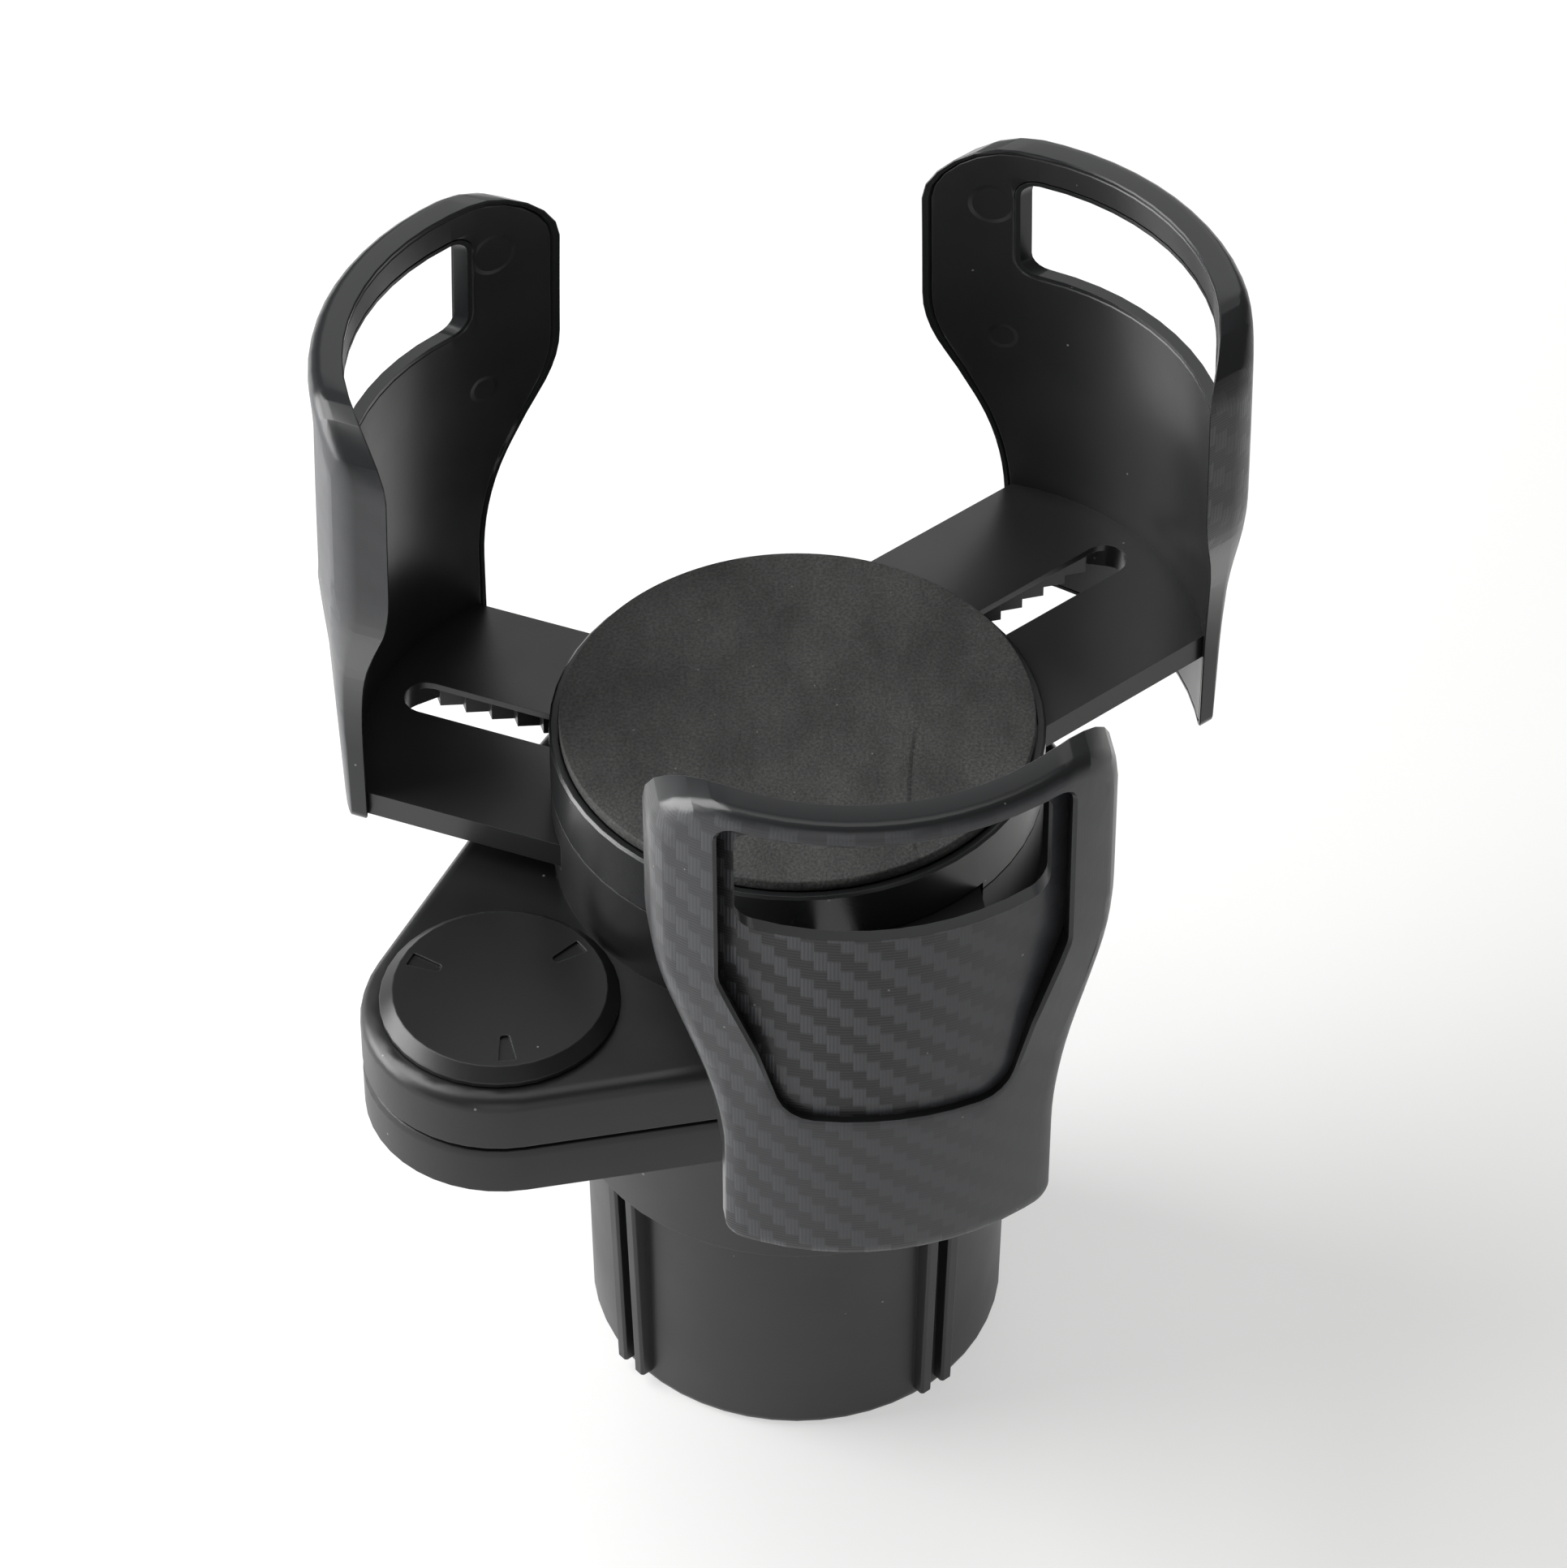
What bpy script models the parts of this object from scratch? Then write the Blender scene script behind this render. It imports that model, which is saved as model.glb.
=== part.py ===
"""Cup holder expander with a swinging offset head and three sliding claws.

A ribbed base cup drops into a vehicle's cup holder. It carries a teardrop plate with a pivot at
its narrow end, and a second plate turns on that pivot with the round hub, whose three claws slide
out to hold a large cup. All sizes are in metres, +Z is up, and the origin is the middle of the
base cup's flat bottom. The viewer stands at -Y.
"""
import math

import bmesh
import bpy
from mathutils import Matrix, Vector

# Clearance between pieces that touch, and how far cutters run past a face
GAP = 0.0003
REACH = 0.0010

# Base cup
BASE_RADIUS = 0.0343
BASE_TAPER = 0.0006
BASE_FOOT_ROUND = 0.0018
BASE_WALL = 0.0022
BASE_HEIGHT = 0.0806
COLLAR_STEP = 0.0029
COLLAR_BOTTOM = 0.0450
BASE_BOSS_RADIUS = 0.0042
BASE_BOSS_BITE = 0.0004
BASE_BOSS_DEPTH = 0.0160

# Pairs of upright rails round the base cup
RAIL_STATIONS = 4
RAIL_FIRST_AZIMUTH = -50.0
RAIL_WIDTH = 0.0022
RAIL_SPACING = 0.0043
RAIL_BOTTOM = 0.0023
RAIL_DRAFT = 0.0014
RAIL_EDGE = 0.0004

# Teardrop plates
PLATE_MARGIN = 0.0088
PLATE_SMALL_RADIUS = 0.0214
PIVOT_AZIMUTH = -142.23
PIVOT_SPACE = 0.0007
LOWER_PLATE_THICKNESS = 0.0093
UPPER_PLATE_THICKNESS = 0.0105
PLATE_SKIN = 0.0024
PLATE_RIM = 0.0024
UPPER_EDGE_ROUND = 0.0024
LOWER_EDGE_ROUND = 0.0015
PLATE_FOOT_ROUND = 0.0005

# Pivot
PIVOT_BOSS_RADIUS = 0.0140
PIVOT_BOLT_RADIUS = 0.0030
PIVOT_HEAD_RADIUS = 0.0052
PIVOT_HEAD_HEIGHT = 0.0034
PIVOT_NUT_RADIUS = 0.0058
PIVOT_NUT_HEIGHT = 0.0036
PIVOT_WASHER_RADIUS = 0.0074
PIVOT_WASHER_THICKNESS = 0.0012
PIVOT_SEAT_RADIUS = 0.0089
PIVOT_SEAT_DEPTH = 0.0064
PIVOT_BOSS_LIFT = 0.0026
CAP_RADIUS = 0.0184
CAP_FACE_RADIUS = 0.0164
CAP_HEIGHT = 0.0025
CAP_LIP = 0.0007
CAP_WALL = 0.0016
CAP_SPIGOT = 0.0034
MARK_FIRST_AZIMUTH = -84.0
MARK_INNER_RADIUS = 0.0100
MARK_OUTER_RADIUS = 0.0152
MARK_INNER_WIDTH = 0.0013
MARK_OUTER_WIDTH = 0.0027
MARK_DEPTH = 0.0004

# Hub
HUB_RADIUS = 0.0382
HUB_WALL = 0.0024
HUB_FLOOR_LIFT = 0.0030
HUB_SEAM_HEIGHT = 0.0148
HUB_CEILING = 0.0012
HUB_LIP = 0.0008
HUB_LIP_WIDTH = 0.0013
HUB_LIP_EDGE = 0.0004
HUB_POST_RADIUS = 0.0030
PAD_THICKNESS = 0.0028
PAD_EDGE = 0.0005
PAD_CLEARANCE = 0.0003

# Arms and their ratchet slots
ARM_AZIMUTHS = {"left": 158.9, "front": -80.8, "right": 39.2}
ARM_REACH = {"left": 0.0703, "front": 0.0874, "right": 0.0703}
ARM_LEVELS = {"left": 0, "front": 1, "right": 2}
ARM_HUB_SPACE = 0.0028
ARM_WIDTH = 0.0460
ARM_THICKNESS = 0.0045
ARM_PITCH = 0.0069
ARM_FLOOR_CLEARANCE = 0.0015
ARM_TAIL_CLEARANCE = 0.0010
ARM_SIDE_CLEARANCE = 0.0006
SLOT_WIDTH = 0.0068
SLOT_END = 0.0042
SLOT_LIP = 0.0012
TOOTH_PITCH = 0.00442
TOOTH_DEPTH = 0.0015
TOOTH_STEP = 0.0012
TOOTH_COUNT = 15
TOOTH_START = 0.0041
CATCH_CLEARANCE = 0.0006
CATCH_LENGTH = 0.0060
CATCH_WIDTH = 0.0052
CATCH_NOSE = 0.0004

# Claws
CLAW_CURVE = 0.0398
CLAW_CLEARANCE = 0.0029
CLAW_HEIGHT = 0.0883
CLAW_WIDTH = 0.0667
CLAW_WAIST_WIDTH = 0.0481
CLAW_SHOULDER = 0.0525
CLAW_WAIST = 0.0265
CLAW_TOP_ROUND = 0.0105
CLAW_SHOULDER_ROUND = 0.0360
CLAW_WAIST_ROUND = 0.0600
CLAW_FOOT_ROUND = 0.0024
CLAW_LEAN = -0.0011
CLAW_LEAN_START = 0.0250
CLAW_PLATE = 0.00095
CLAW_PLATE_EDGE = 0.00025

# Claw covers, measured outward from the claw's inner face
COVER_PANEL = 0.0020
COVER_RIM = 0.0052
COVER_WAIST_RIM = 0.0034
COVER_FOOT_RIM = 0.0025
COVER_THICK_FROM = 0.0560
COVER_EDGE_ROUND = 0.0021
COVER_LIP = 0.0007
COVER_LIP_EDGE = 0.0002
COVER_FIT = 0.0001
COVER_RECESS_ROUND = 0.0006
PARTING = 0.00025
RECESS_TOP_MARGIN = 0.0035
RECESS_WIDTH = 0.0502
RECESS_SHOULDER = 0.0550
RECESS_WAIST_WIDTH = 0.0396
RECESS_WAIST = 0.0417
RECESS_FOOT_WIDTH = 0.0322
RECESS_FOOT = 0.0288
RECESS_ROUND = 0.0028
RECESS_FOOT_ROUND = 0.0052
WINDOW_WIDTH = 0.0450
WINDOW_TOP_MARGIN = 0.0062
WINDOW_HEIGHT = 0.0179
WINDOW_ROUND = 0.0026

# Small screws
SCREW_RADIUS = 0.0016
SCREW_HEAD_RADIUS = 0.0032
SCREW_HEAD_HEIGHT = 0.0020
BASE_SCREW_LENGTH = 0.0190
HUB_SCREW_LENGTH = 0.0150

# Roundness: sides of a full turn, and the width of the flat strips and bands of a claw
TURN_STEPS = 56
BASE_STEPS = 52
CAP_STEPS = 36
SMALL_STEPS = 16
PLATE_BIG_STEPS = 38
PLATE_SMALL_STEPS = 16
CLAW_STRIP = 0.0040
CLAW_BAND = 0.0090
CORNER_STEP = 18.0
CORNER_LENGTH = 0.0026

# Reaches from the base's axis that follow from its radius
COLLAR_RADIUS = BASE_RADIUS + COLLAR_STEP
BASE_BOSS_CIRCLE = COLLAR_RADIUS - BASE_WALL - BASE_BOSS_RADIUS + BASE_BOSS_BITE

# Heights that follow from the sizes above
LOWER_BOTTOM = BASE_HEIGHT + GAP
LOWER_TOP = LOWER_BOTTOM + LOWER_PLATE_THICKNESS
UPPER_BOTTOM = LOWER_TOP + GAP
UPPER_TOP = UPPER_BOTTOM + UPPER_PLATE_THICKNESS
HUB_FLOOR = UPPER_TOP + HUB_FLOOR_LIFT
HUB_SEAM = UPPER_TOP + HUB_SEAM_HEIGHT
TOP_ARM = HUB_FLOOR + ARM_FLOOR_CLEARANCE + 2 * ARM_PITCH + ARM_THICKNESS
HUB_INSIDE_TOP = TOP_ARM + GAP
PAD_SEAT = HUB_INSIDE_TOP + HUB_CEILING
CLAW_BOTTOM = UPPER_TOP + CLAW_CLEARANCE
WINDOW_BOTTOM = CLAW_HEIGHT - WINDOW_TOP_MARGIN - WINDOW_HEIGHT

# Reaches from the hub's axis that follow from the hub's radius
HUB_BORE = HUB_RADIUS - HUB_WALL
PLATE_BIG_RADIUS = HUB_RADIUS + PLATE_MARGIN
PIVOT_REACH = HUB_RADIUS + CAP_RADIUS + PIVOT_SPACE
PIVOT_X = PIVOT_REACH * math.cos(math.radians(PIVOT_AZIMUTH))
PIVOT_Y = PIVOT_REACH * math.sin(math.radians(PIVOT_AZIMUTH))
PIVOT = Vector((PIVOT_X, PIVOT_Y, 0.0))
ARM_TAIL_RADIUS = HUB_BORE - ARM_TAIL_CLEARANCE
ARM_MIN_REACH = HUB_RADIUS + ARM_HUB_SPACE
CATCH_INNER = HUB_BORE - CATCH_LENGTH - CATCH_CLEARANCE

BLACK = (0.018, 0.018, 0.019, 1.0)
SATIN = (0.027, 0.027, 0.029, 1.0)
WEAVE = (0.060, 0.060, 0.063, 1.0)
RUBBER = (0.034, 0.033, 0.032, 1.0)
STEEL = (0.420, 0.420, 0.410, 1.0)


def clear_scene():
    """Remove what the scene holds."""
    for obj in list(bpy.data.objects):
        bpy.data.objects.remove(obj, do_unlink=True)


def new_collection(name):
    """Make a collection in the scene."""
    collection = bpy.data.collections.new(name)
    bpy.context.scene.collection.children.link(collection)
    return collection


def make_material(name, colour, roughness, metallic=0.0):
    """Make a plain Principled BSDF material."""
    material = bpy.data.materials.new(name)
    material.use_nodes = True
    shader = material.node_tree.nodes["Principled BSDF"]
    shader.inputs["Base Color"].default_value = colour
    shader.inputs["Roughness"].default_value = roughness
    shader.inputs["Metallic"].default_value = metallic
    return material


def new_object(name, mesh, collection):
    """Put a mesh in the scene as an object."""
    obj = bpy.data.objects.new(name, mesh)
    collection.objects.link(obj)
    return obj


def as_cutter(obj):
    """Mark an object as a guide that isn't part of the model."""
    obj.display_type = "WIRE"
    obj.hide_render = True
    return obj


def bake(obj):
    """Turn an object and its modifiers into a plain mesh."""
    evaluated = obj.evaluated_get(bpy.context.evaluated_depsgraph_get())
    mesh = bpy.data.meshes.new_from_object(evaluated)
    obj.modifiers.clear()
    obj.data = mesh
    return obj


def add_boolean(obj, other, operation):
    """Add a Boolean modifier."""
    modifier = obj.modifiers.new(operation.title(), "BOOLEAN")
    modifier.operation = operation
    modifier.solver = "EXACT"
    modifier.object = other


def arc(centre, radius, start, end, steps):
    """Points of an arc in the plane, both ends included, angles in radians."""
    angles = [start + (end - start) * i / steps for i in range(steps + 1)]
    return [(centre[0] + radius * math.cos(a), centre[1] + radius * math.sin(a)) for a in angles]


def circle(radius, steps, centre=(0.0, 0.0)):
    """Points of a full circle in the plane."""
    return arc(centre, radius, 0.0, 2 * math.pi * (steps - 1) / steps, steps - 1)


def rounded(corners):
    """Outline through corners given as (x, y, radius), each corner turned into an arc."""
    outline = []
    for i, (x, y, radius) in enumerate(corners):
        corner = Vector((x, y))
        before = (Vector(corners[i - 1][:2]) - corner).normalized()
        after = (Vector(corners[(i + 1) % len(corners)][:2]) - corner).normalized()
        half = before.angle(after) / 2
        along = radius / math.tan(half)
        middle = corner + (before + after).normalized() * (radius / math.sin(half))
        first = corner + before * along - middle
        turn = math.pi - 2 * half
        if before.x * after.y - before.y * after.x > 0:
            turn = -turn
        steps = max(1, round(math.degrees(abs(turn)) / CORNER_STEP),
                    round(abs(turn) * radius / CORNER_LENGTH))
        start = math.atan2(first.y, first.x)
        outline += arc(middle, radius, start, start + turn, steps)
    return outline


def shrunk(corners, inset):
    """Corners of an anticlockwise outline moved inward, or outward where the inset is negative."""
    moved = []
    for i, (x, y, radius) in enumerate(corners):
        corner = Vector((x, y))
        before = (Vector(corners[i - 1][:2]) - corner).normalized()
        after = (Vector(corners[(i + 1) % len(corners)][:2]) - corner).normalized()
        inward = -inset if before.x * after.y - before.y * after.x > 0 else inset
        place = corner + (before + after).normalized() * (inward / math.sin(before.angle(after) / 2))
        moved.append((place.x, place.y, radius - inward))
    return moved


def prism(name, outlines, bottom, top, collection):
    """Upright solid between two heights: the first outline, less the others inside it."""
    curve = bpy.data.curves.new(name, "CURVE")
    curve.dimensions = "2D"
    curve.fill_mode = "BOTH"
    curve.extrude = (top - bottom) / 2
    for outline in outlines:
        spline = curve.splines.new("POLY")
        spline.points.add(len(outline) - 1)
        spline.use_cyclic_u = True
        for point, (x, y) in zip(spline.points, outline):
            point.co = (x, y, 0.0, 1.0)
    guide = new_object(name + "_outline", curve, collection)
    guide.location.z = (top + bottom) / 2
    bpy.context.view_layer.update()
    evaluated = guide.evaluated_get(bpy.context.evaluated_depsgraph_get())
    mesh = bpy.data.meshes.new_from_object(evaluated)
    mesh.transform(guide.matrix_world)
    bpy.data.objects.remove(guide)
    shape = bmesh.new()
    shape.from_mesh(mesh)
    bmesh.ops.remove_doubles(shape, verts=shape.verts, dist=1e-6)
    bmesh.ops.dissolve_limit(shape, angle_limit=0.002, verts=shape.verts, edges=shape.edges)
    bmesh.ops.recalc_face_normals(shape, faces=shape.faces)
    shape.to_mesh(mesh)
    shape.free()
    return new_object(name, mesh, collection)


def turned(name, profile, steps, collection, centre=(0.0, 0.0)):
    """Solid turned about an upright axis from (radius, height) points, outer side downwards."""
    mesh = bpy.data.meshes.new(name)
    edges = [(i, i + 1) for i in range(len(profile) - 1)]
    if profile[0][0] > 0:
        edges.append((len(profile) - 1, 0))
    mesh.from_pydata([(r, 0.0, z) for r, z in profile], edges, [])
    obj = new_object(name, mesh, collection)
    obj.location = (centre[0], centre[1], 0.0)
    screw = obj.modifiers.new("Turn", "SCREW")
    screw.steps = steps
    screw.render_steps = steps
    screw.use_merge_vertices = True
    screw.merge_threshold = 1e-6
    screw.use_smooth_shade = True
    return obj


def cylinder(name, radius, bottom, top, steps, collection, centre=(0.0, 0.0)):
    """Upright cylinder between two heights."""
    shape = bmesh.new()
    bmesh.ops.create_cone(shape, cap_ends=True, segments=steps, radius1=radius, radius2=radius,
                          depth=top - bottom)
    mesh = bpy.data.meshes.new(name)
    shape.to_mesh(mesh)
    shape.free()
    obj = new_object(name, mesh, collection)
    obj.location = (centre[0], centre[1], (top + bottom) / 2)
    return obj


def box(name, low, high, collection):
    """Box between two corners."""
    shape = bmesh.new()
    bmesh.ops.create_cube(shape, size=1.0)
    size = Vector(high) - Vector(low)
    middle = (Vector(high) + Vector(low)) / 2
    bmesh.ops.transform(shape, matrix=Matrix.Translation(middle) @ Matrix.Diagonal((*size, 1.0)),
                        verts=shape.verts)
    mesh = bpy.data.meshes.new(name)
    shape.to_mesh(mesh)
    shape.free()
    return new_object(name, mesh, collection)


def joined(name, objects, collection):
    """Join objects' meshes, as they lie in the world, into one object."""
    bpy.context.view_layer.update()
    shape = bmesh.new()
    for obj in objects:
        mesh = bake(obj).data
        mesh.transform(obj.matrix_world)
        shape.from_mesh(mesh)
        bpy.data.objects.remove(obj)
    mesh = bpy.data.meshes.new(name)
    shape.to_mesh(mesh)
    shape.free()
    return new_object(name, mesh, collection)


def round_rim(obj, height, width, segments, top=True, inner=None):
    """Round the edges where a level face at a height meets the walls round it."""
    shape = bmesh.new()
    shape.from_mesh(obj.data)
    sign = 1 if top else -1
    rim = []
    for edge in shape.edges:
        level = all(abs(vert.co.z - height) < 1e-6 for vert in edge.verts)
        facing = [face.normal.z * sign > 0.9 for face in edge.link_faces]
        if level and len(facing) == 2 and facing[0] != facing[1]:
            middle = (edge.verts[0].co + edge.verts[1].co) / 2
            if inner is None or inner(middle):
                rim.append(edge)
    bmesh.ops.bevel(shape, geom=rim, offset=width, segments=segments, profile=0.5,
                    affect="EDGES", clamp_overlap=False)
    shape.to_mesh(obj.data)
    shape.free()
    return obj


def teardrop(inset):
    """Outline of a plate: two circles and the lines that touch both, moved inward."""
    big = PLATE_BIG_RADIUS - inset
    small = PLATE_SMALL_RADIUS - inset
    direction = math.atan2(PIVOT_Y, PIVOT_X)
    spread = math.acos((big - small) / PIVOT.length)
    outline = arc((0.0, 0.0), big, direction + spread, direction - spread + 2 * math.pi,
                  PLATE_BIG_STEPS)
    outline += arc((PIVOT_X, PIVOT_Y), small, direction - spread, direction + spread,
                   PLATE_SMALL_STEPS)
    return outline


def polar(radius, azimuth):
    """Point in the plane from a radius and an azimuth in degrees."""
    angle = math.radians(azimuth)
    return (radius * math.cos(angle), radius * math.sin(angle))


def build_base_cup(parts, cutters):
    """Cup that sits in the vehicle's cup holder, with its collar, rails and screw bosses."""
    side_foot = BASE_RADIUS - BASE_TAPER
    foot = arc((side_foot - BASE_FOOT_ROUND, BASE_FOOT_ROUND), BASE_FOOT_ROUND, 0.0,
               -math.pi / 2, 3)
    profile = [(0.0, BASE_WALL), (side_foot - BASE_WALL, BASE_WALL),
               (BASE_RADIUS - BASE_WALL, COLLAR_BOTTOM + BASE_WALL / 2),
               (COLLAR_RADIUS - BASE_WALL, COLLAR_BOTTOM + BASE_WALL * 2),
               (COLLAR_RADIUS - BASE_WALL, BASE_HEIGHT), (COLLAR_RADIUS, BASE_HEIGHT),
               (COLLAR_RADIUS, COLLAR_BOTTOM), (BASE_RADIUS, COLLAR_BOTTOM)]
    cup = turned("base_cup", profile + foot + [(0.0, 0.0)], BASE_STEPS, parts)
    rails = []
    for i in range(RAIL_STATIONS):
        for side in (-1, 1):
            middle = side * RAIL_SPACING / 2
            rail = box("rail", (side_foot - BASE_WALL / 2, middle - RAIL_WIDTH / 2, RAIL_BOTTOM),
                       (COLLAR_RADIUS - 0.5 * RAIL_EDGE, middle + RAIL_WIDTH / 2,
                        COLLAR_BOTTOM + RAIL_WIDTH), cutters)
            for vert in rail.data.vertices:
                if vert.co.x > COLLAR_RADIUS - RAIL_EDGE and vert.co.z < COLLAR_BOTTOM:
                    vert.co.x -= RAIL_DRAFT
            bevel = rail.modifiers.new("Edge", "BEVEL")
            bevel.width = RAIL_EDGE
            bevel.segments = 1
            azimuth = RAIL_FIRST_AZIMUTH + i * 360.0 / RAIL_STATIONS
            rail.rotation_euler.z = math.radians(azimuth)
            rails.append(rail)
    add_boolean(cup, as_cutter(joined("rails", rails, cutters)), "UNION")
    bosses = [cylinder("boss", BASE_BOSS_RADIUS, BASE_HEIGHT - BASE_BOSS_DEPTH - BASE_WALL,
                       BASE_HEIGHT - GAP, SMALL_STEPS, cutters, centre)
              for centre in base_screw_places()]
    add_boolean(cup, as_cutter(joined("base_bosses", bosses, cutters)), "UNION")
    bores = [cylinder("bore", SCREW_RADIUS + GAP, BASE_HEIGHT - BASE_BOSS_DEPTH,
                      BASE_HEIGHT + REACH, SMALL_STEPS, cutters, centre)
             for centre in base_screw_places()]
    add_boolean(cup, as_cutter(joined("base_bores", bores, cutters)), "DIFFERENCE")
    return cup


def base_screw_places():
    """Three places on a circle round the base's axis."""
    return [polar(BASE_BOSS_CIRCLE, 90.0 + i * 120.0) for i in range(3)]


def build_lower_plate(parts, cutters):
    """Plate fixed on the base cup, hollow underneath, with the pivot's boss."""
    plate = prism("lower_plate", [teardrop(0.0)], LOWER_BOTTOM, LOWER_TOP, parts)
    round_rim(plate, LOWER_TOP, LOWER_EDGE_ROUND, 2)
    round_rim(plate, LOWER_BOTTOM, PLATE_FOOT_ROUND, 1, top=False)
    hollow_top = LOWER_TOP - PLATE_SKIN
    pivot = (PIVOT_X, PIVOT_Y)
    hollow = prism("lower_hollow", [teardrop(PLATE_RIM)], LOWER_BOTTOM - REACH, hollow_top,
                   cutters)
    ring = cylinder("lower_ring", COLLAR_RADIUS, LOWER_BOTTOM - 2 * REACH, LOWER_TOP, BASE_STEPS,
                    cutters)
    boss = cylinder("lower_boss", PIVOT_BOSS_RADIUS, LOWER_BOTTOM - 2 * REACH, LOWER_TOP,
                    SMALL_STEPS, cutters, pivot)
    for kept in (ring, boss):
        add_boolean(hollow, as_cutter(kept), "DIFFERENCE")
    core = BASE_BOSS_CIRCLE - BASE_BOSS_RADIUS
    well = cylinder("lower_well", core, LOWER_BOTTOM - REACH, hollow_top, BASE_STEPS, cutters)
    lift = cylinder("lower_boss_foot", PIVOT_BOSS_RADIUS + REACH, LOWER_BOTTOM - REACH,
                    LOWER_BOTTOM + PIVOT_BOSS_LIFT, SMALL_STEPS, cutters, pivot)
    for cutter in (hollow, well, lift):
        add_boolean(plate, as_cutter(cutter), "DIFFERENCE")
    bores = [cylinder("bore", PIVOT_BOLT_RADIUS + GAP, LOWER_BOTTOM - REACH, LOWER_TOP + REACH,
                      SMALL_STEPS, cutters, pivot)]
    for centre in base_screw_places():
        bores.append(cylinder("bore", SCREW_RADIUS + GAP, LOWER_BOTTOM - REACH,
                              LOWER_TOP + REACH, SMALL_STEPS, cutters, centre))
    add_boolean(plate, as_cutter(joined("lower_bores", bores, cutters)), "DIFFERENCE")
    seats = [cylinder("seat", SCREW_HEAD_RADIUS + GAP, LOWER_TOP - SCREW_HEAD_HEIGHT - 2 * GAP,
                      LOWER_TOP + REACH, SMALL_STEPS, cutters, centre)
             for centre in base_screw_places()]
    add_boolean(plate, as_cutter(joined("lower_seats", seats, cutters)), "DIFFERENCE")
    return plate


def arm_bottom(side):
    """Height of an arm's underside."""
    return HUB_FLOOR + ARM_FLOOR_CLEARANCE + ARM_LEVELS[side] * ARM_PITCH


def arm_opening(side, cutters):
    """Block that cuts an arm's way through the hub's wall."""
    half = ARM_WIDTH / 2 + ARM_SIDE_CLEARANCE
    opening = box("opening_" + side, (0.0, -half, arm_bottom(side) - GAP),
                  (2 * HUB_RADIUS, half, arm_bottom(side) + ARM_THICKNESS + GAP), cutters)
    opening.rotation_euler.z = math.radians(ARM_AZIMUTHS[side])
    return as_cutter(opening)


def build_upper_plate(parts, cutters):
    """Plate that swings on the pivot, moulded with the hub's lower body."""
    plate = prism("upper_plate", [teardrop(0.0)], UPPER_BOTTOM, UPPER_TOP, parts)
    round_rim(plate, UPPER_TOP, UPPER_EDGE_ROUND, 3)
    round_rim(plate, UPPER_BOTTOM, PLATE_FOOT_ROUND, 1, top=False)
    body_foot = UPPER_TOP - PLATE_SKIN
    profile = [(0.0, HUB_FLOOR), (HUB_BORE, HUB_FLOOR), (HUB_BORE, HUB_SEAM - GAP / 2),
               (HUB_RADIUS, HUB_SEAM - GAP / 2), (HUB_RADIUS, body_foot), (0.0, body_foot)]
    body = turned("hub_body", profile, TURN_STEPS, cutters)
    add_boolean(plate, as_cutter(body), "UNION")
    pivot = (PIVOT_X, PIVOT_Y)
    hollow = prism("upper_hollow", [teardrop(PLATE_RIM),
                                    circle(SCREW_HEAD_RADIUS * 2, SMALL_STEPS),
                                    circle(PIVOT_BOSS_RADIUS, SMALL_STEPS, pivot)],
                   UPPER_BOTTOM - REACH, body_foot, cutters)
    seat = cylinder("pivot_seat", PIVOT_SEAT_RADIUS, UPPER_TOP - PIVOT_SEAT_DEPTH,
                    UPPER_TOP + REACH, CAP_STEPS, cutters, pivot)
    bore = cylinder("pivot_bore", PIVOT_BOLT_RADIUS + GAP, UPPER_BOTTOM - REACH,
                    UPPER_TOP + REACH, SMALL_STEPS, cutters, pivot)
    screw_bore = cylinder("hub_screw_bore", SCREW_RADIUS + GAP, UPPER_BOTTOM - REACH,
                          HUB_FLOOR + REACH, SMALL_STEPS, cutters)
    screw_seat = cylinder("hub_screw_seat", SCREW_HEAD_RADIUS + GAP, UPPER_BOTTOM - REACH,
                          UPPER_BOTTOM + SCREW_HEAD_HEIGHT + 2 * GAP, SMALL_STEPS, cutters)
    for cutter in (hollow, seat, bore, screw_bore, screw_seat):
        add_boolean(plate, as_cutter(cutter), "DIFFERENCE")
    for side in ("left", "front"):
        add_boolean(plate, arm_opening(side, cutters), "DIFFERENCE")
    return plate


def build_hub_cap(parts, cutters):
    """Upper ring of the hub with the pad's seat, and the post that the arms' slots pass."""
    bottom = HUB_SEAM + GAP / 2
    lip_top = PAD_SEAT + HUB_LIP
    lip_inside = HUB_RADIUS - HUB_LIP_WIDTH
    profile = [(0.0, PAD_SEAT), (lip_inside, PAD_SEAT), (lip_inside, lip_top),
               (HUB_RADIUS - HUB_LIP_EDGE, lip_top),
               (HUB_RADIUS, lip_top - HUB_LIP_EDGE), (HUB_RADIUS, bottom),
               (HUB_BORE, bottom), (HUB_BORE, HUB_INSIDE_TOP),
               (HUB_POST_RADIUS, HUB_INSIDE_TOP), (HUB_POST_RADIUS, HUB_FLOOR + GAP),
               (0.0, HUB_FLOOR + GAP)]
    cap = turned("hub_cap", profile, TURN_STEPS, parts)
    bore = cylinder("hub_post_bore", SCREW_RADIUS + GAP, HUB_FLOOR, HUB_INSIDE_TOP,
                    SMALL_STEPS, cutters)
    add_boolean(cap, as_cutter(bore), "DIFFERENCE")
    for side in ("front", "right"):
        add_boolean(cap, arm_opening(side, cutters), "DIFFERENCE")
    return cap


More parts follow.
